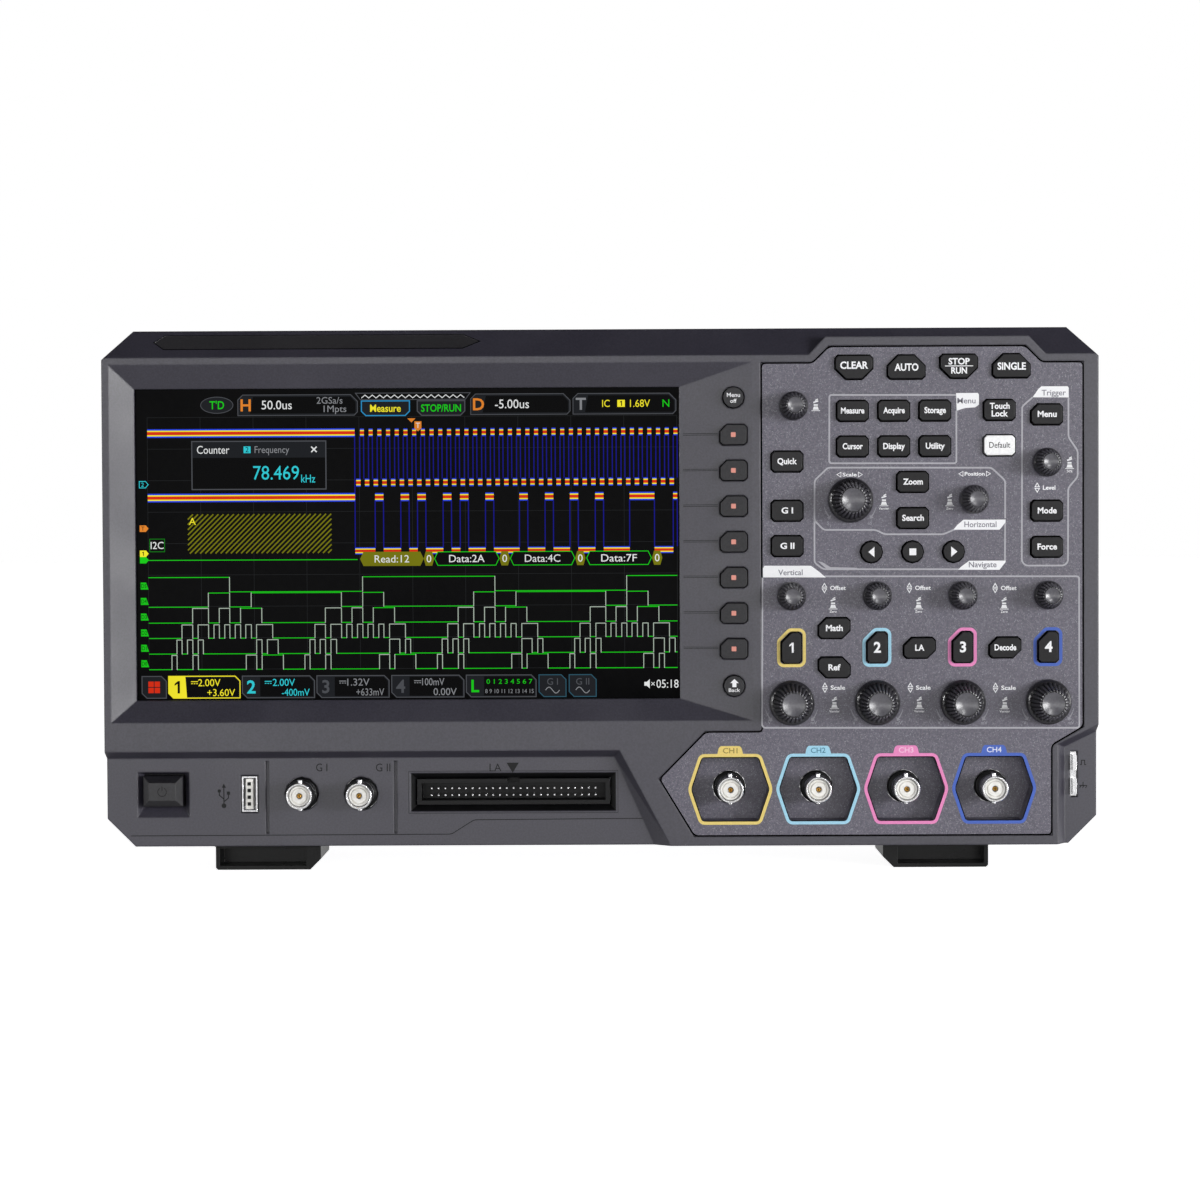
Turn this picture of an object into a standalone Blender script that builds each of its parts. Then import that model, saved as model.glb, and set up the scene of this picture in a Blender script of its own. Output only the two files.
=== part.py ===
"""Bench logic analyser: touch screen, control panel, probe connectors, folding legs, carrying handle.

Run with: blender --background --python part.py
The object stands on z = 0, its front faces -Y, and the origin is under the middle of its bounding box.
Sizes are in millimetres. MM turns them into Blender's metres where a mesh is made.
"""

import math

import bmesh
import bpy
from mathutils import Vector

MM = 0.001

# Overall size
BODY_WIDTH = 367.0
BODY_HEIGHT = 201.2
BODY_DEPTH = 130.0
FOOT_HEIGHT = 9.9
CORNER = 10.4
WALL = 3.0
SEAT_GAP = 0.3
BEZEL_DEPTH = 42.0

# Knobs and keys
SMALL_KNOB = {"skirt": 5.3, "grip": 4.7, "cap": 4.0, "height": 11.5}
LARGE_KNOB = {"skirt": 8.3, "grip": 7.0, "cap": 5.8, "height": 14.0}
SHAFT_RADIUS = 3.0
SHAFT_GAP = 0.6
KNOB_LIFT = 0.6
KEY_WIDTH = 11.2
KEY_HEIGHT = 7.2
TOP_KEY_WIDTH = 13.4
TOP_KEY_HEIGHT = 8.4
CHANNEL_KEY_WIDTH = 7.0
CHANNEL_KEY_HEIGHT = 11.2
ROUND_KEY_RADIUS = 3.8
KEY_GAP = 0.35
KEY_CORNER = 1.0
KEY_PROUD = 1.8
KEY_TRAVEL = 0.8
KEY_FLANGE = 0.7
PLUNGER_INSET = 1.7
FLANGE_THICKNESS = 1.0

# Front levels, as depths behind the front face
LOWER_LEVEL = 5.0
SCREEN_SLOPE_DEPTH = 4.5
CAVITY_LEVEL = 10.0
TOP_SLOPE_DEPTH = 9.0
BOARD_LEVEL = 15.0
BOARD_THICKNESS = 1.6
SWITCH_SIZE = 6.0
ENCODER_SIZE = 12.0
ENCODER_LEVEL = 11.5

# Control panel
PANEL_WIDTH = 118.3
PANEL_RIM = 5.7
PANEL_DROP = 7.4
PANEL_THICKNESS = 2.0
PANEL_LEDGE = 2.0
PANEL_SHOULDER = 6.0
PANEL_FOOT = 3.7

# Screen
SCREEN_RIM = 2.5
SCREEN_SLOPE = 8.8
SOFTKEY_BAND = 26.7
SCREEN_HEIGHT = 115.3
GLASS_BORDER = 3.0
GLASS_THICKNESS = 1.8
LIP_THICKNESS = 1.6
DISPLAY_MODULE_DEPTH = 7.0

# Connectors
CONNECTOR_PITCH = 32.45
CONNECTOR_RISE = 20.9
WINDOW_HALF_WIDTH = 14.4
WINDOW_HALF_FLAT = 10.4
WINDOW_HALF_HEIGHT = 11.8
WINDOW_DEPTH = 10.0
WINDOW_WALL = 1.5
BARREL_RADIUS = 4.85
BARREL_BORE = 4.05
COLLAR_RADIUS = 6.0
BARREL_LENGTH = 14.0
BORE_DEPTH = 8.0
CONTACT_RADIUS = 1.2
GENERATOR_PITCH = 22.0
LOGIC_WIDTH = 71.6
LOGIC_HEIGHT = 9.6
USB_WIDTH = 5.7
USB_HEIGHT = 13.1

# Power button
POWER_WIDTH = 14.6
POWER_ROOM = 6.0
POWER_HEIGHT = 11.3

# Legs and handle
LEG_WIDTH = 39.4
LEG_LENGTH = 30.0
LEG_INSET = 38.8
LEG_PIVOT_RISE = 1.6
LEG_BARREL = 2.6
LEG_ROOM = 0.8
LEG_ROOF = 1.8
LEG_SINK = 0.5
LEG_CLEARANCE = 0.5
LEG_BEVEL = 4.0
LEG_SKIN = 1.5
LEG_PIN_LENGTH = 2.4
LEG_SIDE_GAP = 0.5
PIN_RADIUS = 1.9
PIN_GAP = 0.25
HANDLE_SPAN = 184.0
HANDLE_PIVOT_INSET = 26.0
HANDLE_BAR = 12.0
HANDLE_THICKNESS = 9.0
HANDLE_POCKET_DEPTH = 16.0
HANDLE_PIN_RADIUS = 2.9
FINGER_GAP = 10.0

# Rear
SIDE_TAPER = 24.0
TOP_TAPER = 15.0
STRAIGHT_DEPTH = 21.0
FAN_SIZE = 60.0
FAN_DEPTH = 15.0
FAN_INSET = 83.0
INLET_WIDTH = 27.5
INLET_HEIGHT = 20.0
REAR_FOOT_LENGTH = 30.0
REAR_FOOT_DEPTH = 14.0

# Places that follow from the sizes
RIGHT = BODY_WIDTH / 2
LEFT = -RIGHT
TOP = BODY_HEIGHT
BOTTOM = FOOT_HEIGHT
REAR = BODY_DEPTH / 2
FACE = -REAR + LARGE_KNOB["height"]
SEAM = FACE + BEZEL_DEPTH
FACE_TOP = TOP - CORNER
PANEL_RIGHT = RIGHT - PANEL_RIM
PANEL_LEFT = PANEL_RIGHT - PANEL_WIDTH
PANEL_TOP = TOP - PANEL_DROP
SCREEN_TOP = FACE_TOP - SCREEN_RIM - SCREEN_SLOPE
SCREEN_BOTTOM = SCREEN_TOP - SCREEN_HEIGHT
SCREEN_LEFT = LEFT + SCREEN_RIM + SCREEN_SLOPE
SCREEN_RIGHT = PANEL_LEFT - SCREEN_RIM - 1.0 - SOFTKEY_BAND
LEDGE_TOP = BOTTOM + 35.5
CONNECTOR_Z = BOTTOM + CONNECTOR_RISE
LOWER_ROW_Z = BOTTOM + 19.4
LOGIC_Z = LOWER_ROW_Z + 0.4
SOFTKEY_X = PANEL_LEFT - 10.3
SOFTKEY_PITCH = 13.15
SOFTKEY_COUNT = 7
SOFTKEY_WIDTH = 9.6
SOFTKEY_END_PITCH = 13.7
LEG_PIVOT_Y = FACE + 12.0
LEG_PIVOT_Z = BOTTOM + LEG_PIVOT_RISE
HANDLE_PIVOT_Y = REAR - HANDLE_PIVOT_INSET
HANDLE_BAR_Y = SEAM + 1.0 + WALL + FINGER_GAP
HANDLE_PIVOT_Z = TOP - 0.5 - HANDLE_THICKNESS / 2
FAN_X = RIGHT - FAN_INSET
FAN_Z = BOTTOM + 101.0
INLET_X = LEFT + 48.0
INLET_Z = BOTTOM + 40.0
PORTS_X = INLET_X + 105.0
PORTS_Z = BOTTOM + 30.0
PORTS_WIDTH = 92.0
PORTS_HEIGHT = 24.0

# Rear sockets: distance from the middle of the bracket, width, height, wall and depth of the opening
PORT_SHELLS = [(-34.0, 16.0, 14.0, 1.6, 14.0), (-10.0, 15.5, 6.2, 0.8, 9.0), (10.0, 12.2, 11.0, 1.6, 12.0)]

# Keys: name, distance right of the panel's left edge, distance below its top, style
STANDARD_KEYS = [
    ("quick_key", 9.3, 42.2, "plain"),
    ("generator_1_key", 9.3, 60.3, "plain"),
    ("generator_2_key", 9.3, 73.3, "plain"),
    ("touch_lock_key", 87.4, 23.6, "plain"),
    ("default_key", 87.4, 36.6, "plain"),
    ("trigger_menu_key", 104.8, 25.3, "left_cut"),
    ("trigger_mode_key", 104.8, 60.7, "plain"),
    ("trigger_force_key", 104.8, 74.0, "plain"),
    ("zoom_key", 55.5, 49.9, "plain"),
    ("search_key", 55.5, 63.2, "plain"),
    ("math_key", 26.5, 103.6, "slanted"),
    ("reference_key", 26.5, 118.1, "counter_slanted"),
    ("logic_key", 57.9, 111.0, "slanted"),
    ("decode_key", 89.4, 111.0, "slanted"),
]
TOP_KEYS = [
    ("clear_key", 34.0, 7.7, "cup"),
    ("auto_key", 53.2, 7.7, "cap"),
    ("run_stop_key", 72.5, 7.5, "cup"),
    ("single_key", 91.8, 7.4, "cap"),
]
VERTICAL_COLUMNS = [10.8, 42.3, 73.8, 105.3]
CHANNEL_KEY_DROP = 110.8
OFFSET_KNOB_DROP = 91.7
SCALE_KNOB_DROP = 131.1
MENU_COLUMNS = [33.4, 48.6, 63.7]
MENU_ROWS = [23.7, 36.8]
NAVIGATE_COLUMNS = [40.3, 55.4, 70.5]
NAVIGATE_DROP = 75.6
KNOBS = [
    ("multifunction_knob", 11.7, 21.8, SMALL_KNOB),
    ("trigger_level_knob", 104.8, 42.9, SMALL_KNOB),
    ("horizontal_scale_knob", 32.6, 56.5, LARGE_KNOB),
    ("horizontal_position_knob", 78.0, 56.4, SMALL_KNOB),
]

# Corner cuts of each key style: top left, top right, bottom right, bottom left
KEY_STYLES = {
    "plain": (KEY_CORNER,) * 4,
    "left_cut": (2.4, KEY_CORNER, KEY_CORNER, KEY_CORNER),
    "slanted": (2.8, KEY_CORNER, 2.8, KEY_CORNER),
    "counter_slanted": (KEY_CORNER, 2.8, KEY_CORNER, 2.8),
    "cup": (KEY_CORNER, KEY_CORNER, 3.8, 3.8),
    "cap": (3.8, 3.8, KEY_CORNER, KEY_CORNER),
    "channel": (3.6, KEY_CORNER, KEY_CORNER, KEY_CORNER),
}


# ---------------------------------------------------------------- outlines

def rectangle(x, z, width, height):
    left, right = x - width / 2, x + width / 2
    low, high = z - height / 2, z + height / 2
    return [(left, low), (right, low), (right, high), (left, high)]


def cut_rectangle(x, z, width, height, cuts):
    """A rectangle with 45-degree corners. The cuts run top left, top right, bottom right, bottom left."""
    top_left, top_right, bottom_right, bottom_left = cuts
    low_x, high_x = x - width / 2, x + width / 2
    low_z, high_z = z - height / 2, z + height / 2
    return [
        (low_x + bottom_left, low_z), (high_x - bottom_right, low_z),
        (high_x, low_z + bottom_right), (high_x, high_z - top_right),
        (high_x - top_right, high_z), (low_x + top_left, high_z),
        (low_x, high_z - top_left), (low_x, low_z + bottom_left),
    ]


def circle(x, z, radius, segments=12):
    turn = 2 * math.pi / segments
    return [(x + radius * math.cos(i * turn), z + radius * math.sin(i * turn)) for i in range(segments)]


def grown(outline, distance):
    """The outline moved outwards by a distance, with mitred corners. It runs anticlockwise."""
    moved = []
    for i, point in enumerate(outline):
        here = Vector(point)
        before = (here - Vector(outline[i - 1])).normalized()
        after = (Vector(outline[(i + 1) % len(outline)]) - here).normalized()
        normal_a = Vector((before.y, -before.x))
        normal_b = Vector((after.y, -after.x))
        mitre = (normal_a + normal_b) / (1 + normal_a.dot(normal_b))
        moved.append(tuple(here + mitre * distance))
    return moved


def body_outline(side_inset=0.0, top_drop=0.0):
    width = BODY_WIDTH - 2 * side_inset
    height = TOP - top_drop - BOTTOM
    return cut_rectangle(0, BOTTOM + height / 2, width, height, (CORNER,) * 4)


def panel_outline():
    """The control panel: a raised middle along its top, and a foot that narrows to a point on the left."""
    left, right, top = PANEL_LEFT, PANEL_RIGHT, PANEL_TOP
    low = BOTTOM + PANEL_FOOT
    shoulder = top - PANEL_SHOULDER
    waist = BOTTOM + 42.1
    return [
        (left - 25.2, low), (right - 11.6, low), (right - 11.6, BOTTOM + 36.8), (right, BOTTOM + 43.6),
        (right, shoulder), (right - 15.2, shoulder), (right - 21.2, top), (left + 24.9, top),
        (left + 18.8, shoulder), (left, shoulder), (left, waist), (left - 21.0, waist),
        (left - 38.0, BOTTOM + 24.8),
    ]


def window_outline(x):
    """The six-sided window round one probe connector."""
    z = CONNECTOR_Z
    wide, flat, high = WINDOW_HALF_WIDTH, WINDOW_HALF_FLAT, WINDOW_HALF_HEIGHT
    low = [(x - flat, z - high), (x + flat, z - high), (x + wide, z)]
    return low + [(x + flat, z + high), (x - flat, z + high), (x - wide, z)]


def channel_x(index):
    return PANEL_LEFT - 11.9 + CONNECTOR_PITCH * index


def key_outline(key):
    """A key's outline from its row in a key table."""
    name, right_by, down_by, style = key
    width, height = KEY_WIDTH, KEY_HEIGHT
    if style in ("cup", "cap"):
        width, height = TOP_KEY_WIDTH, TOP_KEY_HEIGHT
    if style == "channel":
        width, height = CHANNEL_KEY_WIDTH, CHANNEL_KEY_HEIGHT
    return cut_rectangle(PANEL_LEFT + right_by, PANEL_TOP - down_by, width, height, KEY_STYLES[style])


def channel_keys():
    return [(f"channel_{i + 1}_key", x, CHANNEL_KEY_DROP, "channel") for i, x in enumerate(VERTICAL_COLUMNS)]


def single_keys():
    return STANDARD_KEYS + TOP_KEYS + channel_keys()


def menu_key_outlines():
    return [key_outline(("", x, z, "plain")) for z in MENU_ROWS for x in MENU_COLUMNS]


def navigate_key_outlines():
    return [circle(PANEL_LEFT + x, PANEL_TOP - NAVIGATE_DROP, ROUND_KEY_RADIUS) for x in NAVIGATE_COLUMNS]


def softkey_outlines():
    """Seven cut keys in a column with a round key above and below it."""
    first = SCREEN_TOP - 17.9
    last = first - (SOFTKEY_COUNT - 1) * SOFTKEY_PITCH
    rows = [first - i * SOFTKEY_PITCH for i in range(SOFTKEY_COUNT)]
    keys = [cut_rectangle(SOFTKEY_X, z, SOFTKEY_WIDTH, KEY_HEIGHT, KEY_STYLES["left_cut"]) for z in rows]
    ends = (first + SOFTKEY_END_PITCH, last - SOFTKEY_END_PITCH)
    return keys + [circle(SOFTKEY_X, z, ROUND_KEY_RADIUS) for z in ends]


def all_knobs():
    knobs = list(KNOBS)
    for i, x in enumerate(VERTICAL_COLUMNS):
        knobs.append((f"offset_knob_{i + 1}", x, OFFSET_KNOB_DROP, SMALL_KNOB))
        knobs.append((f"scale_knob_{i + 1}", x, SCALE_KNOB_DROP, LARGE_KNOB))
    return knobs


# ---------------------------------------------------------------- meshes

def loft(bm, rings):
    """Skins a row of rings that have the same number of points, and caps both ends."""
    loops = [[bm.verts.new(point) for point in ring] for ring in rings]
    for first, second in zip(loops, loops[1:]):
        for i, vertex in enumerate(first):
            bm.faces.new((first[i - 1], vertex, second[i], second[i - 1]))
    bm.faces.new(loops[0])
    bm.faces.new(loops[-1])


def stepped(bm, stations):
    """A solid along Y through (outline in X and Z, y) stations."""
    loft(bm, [[(x, y, z) for x, z in outline] for outline, y in stations])


def prism(bm, outline, low, high, axis="Y"):
    """An outline given a thickness along an axis. Its points are in the other two axes, in X, Y, Z order."""
    place = "XYZ".index(axis)
    loft(bm, [[point[:place] + (depth,) + point[place:] for point in outline] for depth in (low, high)])


def box(bm, low, high):
    outline = [(low[0], low[2]), (high[0], low[2]), (high[0], high[2]), (low[0], high[2])]
    prism(bm, outline, low[1], high[1])


def turned(bm, centre, stations, axis="Y", segments=14):
    """A solid turned about an axis through (place along it, radius) stations."""
    rings = []
    for along, radius in stations:
        ring = circle(0, 0, radius, segments)
        if axis == "X":
            rings.append([(along, centre[0] + a, centre[1] + b) for a, b in ring])
        else:
            rings.append([(centre[0] + a, along, centre[1] + b) for a, b in ring])
    loft(bm, rings)


def material(name, colour, roughness, metallic=0.0):
    found = bpy.data.materials.get(name)
    if found:
        return found
    made = bpy.data.materials.new(name)
    made.use_nodes = True
    shader = made.node_tree.nodes["Principled BSDF"]
    shader.inputs["Base Color"].default_value = (*colour, 1)
    shader.inputs["Roughness"].default_value = roughness
    shader.inputs["Metallic"].default_value = metallic
    return made


def add_object(name, bm, origin=(0, 0, 0)):
    bmesh.ops.recalc_face_normals(bm, faces=bm.faces)
    bmesh.ops.translate(bm, verts=bm.verts, vec=-Vector(origin))
    bmesh.ops.scale(bm, verts=bm.verts, vec=(MM, MM, MM))
    mesh = bpy.data.meshes.new(name)
    bm.to_mesh(mesh)
    bm.free()
    mesh.shade_smooth()
    mesh.set_sharp_from_angle(angle=math.radians(35))
    obj = bpy.data.objects.new(name, mesh)
    obj.location = Vector(origin) * MM
    bpy.context.scene.collection.objects.link(obj)
    return obj


def solid(name, bm, finish, origin=(0, 0, 0)):
    """A named piece with its material. A moving piece has its origin on its joint."""
    obj = add_object(name, bm, origin)
    obj.data.materials.append(finish)
    return obj


def combine(obj, bm, operation):
    """Cuts a shape from a piece with DIFFERENCE, or joins it on with UNION."""
    helper = add_object(f"{obj.name}_{operation.lower()}_{len(obj.modifiers)}", bm)
    helper.hide_render = True
    helper.display_type = "WIRE"
    modifier = obj.modifiers.new(operation.title(), "BOOLEAN")
    modifier.operation = operation
    modifier.solver = "EXACT"
    modifier.object = helper


def shape(maker):
    """A new bmesh filled by a function."""
    bm = bmesh.new()
    maker(bm)
    return bm


# ---------------------------------------------------------------- front housing

def slanted_cut(bm, front, back):
    """A cut whose sides slope from one outline at the front face to another at the lower level."""
    lead = 1.0
    ahead = [tuple(Vector(a) + (Vector(a) - Vector(b)) * lead / LOWER_LEVEL) for a, b in zip(front, back)]
    stepped(bm, [(ahead, FACE - lead), (back, FACE + LOWER_LEVEL)])


def lower_zone_cut(bm):
    """The set-back area under the screen, and the one at the right for the probe terminals."""
    under, outside = BOTTOM - 5, LEFT - 10
    tip, ledge = PANEL_LEFT - 52.7, LEDGE_TOP
    slanted_cut(
        bm,
        [(outside, under), (tip + 21.0, under), (tip, ledge), (outside, ledge)],
        [(outside, under), (tip + 15.0, under), (tip - 2.0, ledge - 2.7), (outside, ledge - 2.7)],
    )
    wing, beyond = RIGHT - 15.0, RIGHT + 10
    slanted_cut(
        bm,
        [(wing, under), (beyond, under), (beyond, BOTTOM + 49.2), (wing, BOTTOM + 37.1)],
        [(wing + 3.2, under), (beyond, under), (beyond, BOTTOM + 46.4), (wing + 3.2, BOTTOM + 35.8)],
    )


def screen_cut(bm):
    """The sloping recess round the screen, its window, and the seat behind the lip for the glass."""
    low_x, high_x = SCREEN_LEFT, SCREEN_RIGHT
    low_z, high_z = SCREEN_BOTTOM, SCREEN_TOP
    window = [(low_x, low_z), (high_x, low_z), (high_x, high_z), (low_x, high_z)]
    share = 1 + 1.0 / SCREEN_SLOPE_DEPTH
    side, low, band = SCREEN_SLOPE * share, (SCREEN_SLOPE - 0.8) * share, SOFTKEY_BAND * share
    left, right, under, over = low_x - side, high_x + band, low_z - low, high_z + side
    mouth = [(left, under), (right, under), (right, over), (left, over)]
    lip = SCREEN_SLOPE_DEPTH + LIP_THICKNESS
    stepped(bm, [
        (mouth, FACE - 1.0), (window, FACE + SCREEN_SLOPE_DEPTH), (window, FACE + lip),
        (grown(window, GLASS_BORDER + SEAT_GAP), FACE + lip),
        (grown(window, GLASS_BORDER + SEAT_GAP), FACE + CAVITY_LEVEL + 1),
    ])


def panel_seat_cut(bm):
    outline = panel_outline()
    step = PANEL_THICKNESS + SEAT_GAP
    stepped(bm, [
        (grown(outline, SEAT_GAP), FACE - 1), (grown(outline, SEAT_GAP), FACE + step),
        (grown(outline, -PANEL_LEDGE), FACE + step), (grown(outline, -PANEL_LEDGE), FACE + CAVITY_LEVEL + 1),
    ])


def front_openings_cut(bm):
    """Softkey holes, and the openings in the lower zone for the button, sockets and terminals."""
    through = FACE + CAVITY_LEVEL + 1
    for outline in softkey_outlines():
        prism(bm, grown(outline, KEY_GAP), FACE - 1, through)
    level = FACE + LOWER_LEVEL
    power = grown(power_outline(), KEY_GAP)
    power_mouth = rectangle(power_x(), LOWER_ROW_Z - 0.7, POWER_WIDTH + POWER_ROOM, POWER_HEIGHT + POWER_ROOM + 1.2)
    stepped(bm, [(power_mouth, level - 1), (power, level + 3), (power, through)])
    prism(bm, rectangle(usb_x(), LOWER_ROW_Z, USB_WIDTH + 0.8, USB_HEIGHT + 0.8), level - 1, through)
    logic = grown(rectangle(logic_x(), LOGIC_Z, LOGIC_WIDTH, LOGIC_HEIGHT), KEY_GAP)
    stepped(bm, [
        (grown(logic, 2.5), level - 1), (grown(logic, 1.8), level + 0.5), (logic, level + 2.5),
        (logic, through),
    ])
    for x in generator_xs():
        prism(bm, circle(x, LOWER_ROW_Z, COLLAR_RADIUS + KEY_GAP), level - 1, through)
    for edge in (-1, 1):
        prism(bm, rectangle(generator_middle() + edge * 23.8, BOTTOM + 18.1, 1.2, 26.8), level - 1, level + 1)
    prism(bm, rectangle(terminal_x(), BOTTOM + 25.6, 2.9, 17.0), level - 1, through)


def power_x():
    return LEFT + 20.9


def power_outline():
    return rectangle(power_x(), LOWER_ROW_Z + 1.2, POWER_WIDTH, POWER_HEIGHT)


def usb_x():
    return LEFT + 52.9


def generator_middle():
    return LEFT + 83.3


def generator_xs():
    return [generator_middle() + side * GENERATOR_PITCH / 2 for side in (-1, 1)]


def logic_x():
    return LEFT + 150.8


def terminal_x():
    return RIGHT - 8.3


def leg_sides():
    """Each leg's name, its outer end and its inner end along X."""
    outer = RIGHT - LEG_INSET
    return [("front_leg_left", -outer, -outer + LEG_WIDTH), ("front_leg_right", outer, outer - LEG_WIDTH)]


def leg_housings(bm):
    for _, outer, inner in leg_sides():
        low, high = sorted((outer, inner))
        top = LEG_PIVOT_Z + LEG_BARREL + LEG_ROOM + LEG_ROOF
        reach = LEG_PIN_LENGTH + 1.2
        box(bm, (low - reach, FACE + CAVITY_LEVEL - 1, BOTTOM + 1), (high + reach, LEG_PIVOT_Y + 7, top))


def leg_pockets(bm):
    clear = LEG_BARREL + LEG_ROOM
    for _, outer, inner in leg_sides():
        low, high = sorted((outer, inner))
        front, back = LEG_PIVOT_Y - clear, LEG_PIVOT_Y + clear
        box(bm, (low - LEG_SIDE_GAP, front, BOTTOM - 2), (high + LEG_SIDE_GAP, back, LEG_PIVOT_Z + clear))


def leg_pin_holes(bm):
    """The holes for the legs' pins, through both side walls of each pocket."""
    for _, outer, inner in leg_sides():
        low, high = sorted((outer, inner))
        radius = PIN_RADIUS + PIN_GAP
        reach = LEG_PIN_LENGTH + 0.4
        ends = [(low - reach, radius), (high + reach, radius)]
        turned(bm, (LEG_PIVOT_Y, LEG_PIVOT_Z), ends, axis="X", segments=12)


def front_bezel(finish):
    """The front housing: a shell open at the back, with a sloping top edge and a brow over the panel."""
    bm = bmesh.new()
    height = FACE_TOP - BOTTOM
    face = cut_rectangle(0, BOTTOM + height / 2, BODY_WIDTH, height, (0.8, 0.8, CORNER, CORNER))
    outline = body_outline()
    stepped(bm, [(face, FACE), (outline, FACE + TOP_SLOPE_DEPTH), (outline, SEAM)])
    bezel = solid("front_bezel", bm, finish)
    brow_top = PANEL_TOP + 3.7
    brow = [
        (PANEL_LEFT + 12, FACE_TOP - 6), (PANEL_RIGHT - 8, FACE_TOP - 6), (PANEL_RIGHT - 13.5, FACE_TOP),
        (PANEL_RIGHT - 20.0, brow_top), (PANEL_LEFT + 23.6, brow_top), (PANEL_LEFT + 17.3, FACE_TOP),
    ]
    combine(bezel, shape(lambda m: prism(m, brow, FACE, FACE + TOP_SLOPE_DEPTH - 1)), "UNION")
    cavity = grown(outline, -WALL)
    combine(bezel, shape(lambda m: prism(m, cavity, FACE + CAVITY_LEVEL, SEAM + 1)), "DIFFERENCE")
    combine(bezel, shape(leg_housings), "UNION")
    cutters = (screen_cut, panel_seat_cut, lower_zone_cut, front_openings_cut, leg_pockets, leg_pin_holes)
    for cutter in cutters:
        combine(bezel, shape(cutter), "DIFFERENCE")


def control_panel(finish):
    """The panel plate with a cup behind each connector window, and holes for the keys and knob shafts."""
    bm = shape(lambda m: prism(m, panel_outline(), FACE, FACE + PANEL_THICKNESS))
    panel = solid("control_panel", bm, finish)

    def cups(m):
        for i in range(4):
            outline = grown(window_outline(channel_x(i)), WINDOW_WALL)
            prism(m, outline, FACE + PANEL_THICKNESS / 2, FACE + WINDOW_DEPTH + WINDOW_WALL)

    def windows(m):
        for i in range(4):
            prism(m, window_outline(channel_x(i)), FACE - 1, FACE + WINDOW_DEPTH)

    def holes(m):
        for key in single_keys():
            prism(m, grown(key_outline(key), KEY_GAP), FACE - 1, FACE + PANEL_THICKNESS + 1)
        for outline in menu_key_outlines() + navigate_key_outlines():
            prism(m, grown(outline, KEY_GAP), FACE - 1, FACE + PANEL_THICKNESS + 1)
        for _, x, down, _ in all_knobs():
            hole = circle(PANEL_LEFT + x, PANEL_TOP - down, SHAFT_RADIUS + SHAFT_GAP, 12)
            prism(m, hole, FACE - 1, FACE + PANEL_THICKNESS + 1)
        for i in range(4):
            hole = circle(channel_x(i), CONNECTOR_Z, COLLAR_RADIUS + KEY_GAP)
            prism(m, hole, FACE + WINDOW_DEPTH - 1, FACE + WINDOW_DEPTH + WINDOW_WALL + 1)

    combine(panel, shape(cups), "UNION")
    combine(panel, shape(windows), "DIFFERENCE")
    combine(panel, shape(holes), "DIFFERENCE")


# ---------------------------------------------------------------- keys and knobs

def plunger_end():
    return FACE + BOARD_LEVEL - 4.8 - KEY_TRAVEL - 0.4


def plunger(outline):
    """A key's outline drawn in towards its middle, by PLUNGER_INSET at its sides."""
    xs, zs = zip(*outline)
    x, z = (min(xs) + max(xs)) / 2, (min(zs) + max(zs)) / 2
    across = 1 - 2 * PLUNGER_INSET / (max(xs) - min(xs))
    along = 1 - 2 * PLUNGER_INSET / (max(zs) - min(zs))
    return [(x + (a - x) * across, z + (b - z) * along) for a, b in outline]


def key_post(bm, outline, front, flange):
    """A key cap down to its flange, then a narrower plunger that reaches its switch."""
    rim, back = grown(outline, KEY_FLANGE), flange + FLANGE_THICKNESS
    stepped(bm, [
        (outline, front), (outline, flange), (rim, flange), (rim, back),
        (plunger(outline), back), (plunger(outline), plunger_end()),
    ])


def panel_keys(finishes):
    flange = FACE + PANEL_THICKNESS + SEAT_GAP
    for key in single_keys():
        name, right_by, down_by, _ = key
        bm = bmesh.new()
        key_post(bm, key_outline(key), FACE - KEY_PROUD, flange)
        finish = finishes["light"] if name == "default_key" else finishes["dark"]
        solid(name, bm, finish, (PANEL_LEFT + right_by, FACE, PANEL_TOP - down_by))


def keypad(name, outlines, web, front, web_front, depth, finish):
    """Several key caps on one silicone web, which presses them together."""
    middle = Vector((sum(x for x, _ in web) / len(web), sum(z for _, z in web) / len(web)))
    bm = shape(lambda m: prism(m, web, web_front, web_front + FLANGE_THICKNESS))
    pad = solid(name, bm, finish, (middle.x, web_front, middle.y))

    def posts(m):
        for outline in outlines:
            middle_of_web = web_front + FLANGE_THICKNESS / 2
            stepped(m, [
                (outline, front), (outline, middle_of_web), (plunger(outline), middle_of_web),
                (plunger(outline), depth),
            ])

    combine(pad, shape(posts), "UNION")


def keypads(finish):
    web_front = FACE + PANEL_THICKNESS + SEAT_GAP
    columns = [PANEL_LEFT + x for x in MENU_COLUMNS]
    rows = [PANEL_TOP - z for z in MENU_ROWS]
    web = rectangle(
        (columns[0] + columns[-1]) / 2, sum(rows) / 2,
        columns[-1] - columns[0] + KEY_WIDTH + 1, rows[0] - rows[-1] + KEY_HEIGHT + 1,
    )
    keypad("menu_keypad", menu_key_outlines(), web, FACE - KEY_PROUD, web_front, plunger_end(), finish)
    height = 2 * ROUND_KEY_RADIUS + 1
    span = NAVIGATE_COLUMNS[-1] - NAVIGATE_COLUMNS[0] + height
    strip = rectangle(PANEL_LEFT + NAVIGATE_COLUMNS[1], PANEL_TOP - NAVIGATE_DROP, span, height)
    outlines = navigate_key_outlines()
    keypad("navigate_keypad", outlines, strip, FACE - KEY_PROUD, web_front, plunger_end(), finish)
    outlines = softkey_outlines()
    low, high = outlines[-1][0][1] - ROUND_KEY_RADIUS - 2, outlines[-2][0][1] + ROUND_KEY_RADIUS + 2
    mat = rectangle(SOFTKEY_X, (low + high) / 2, 13.0, high - low)
    mat_front = FACE + CAVITY_LEVEL + SEAT_GAP
    keypad("softkey_mat", outlines, mat, FACE - 0.6, mat_front, mat_front + FLANGE_THICKNESS + 0.4, finish)


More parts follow.
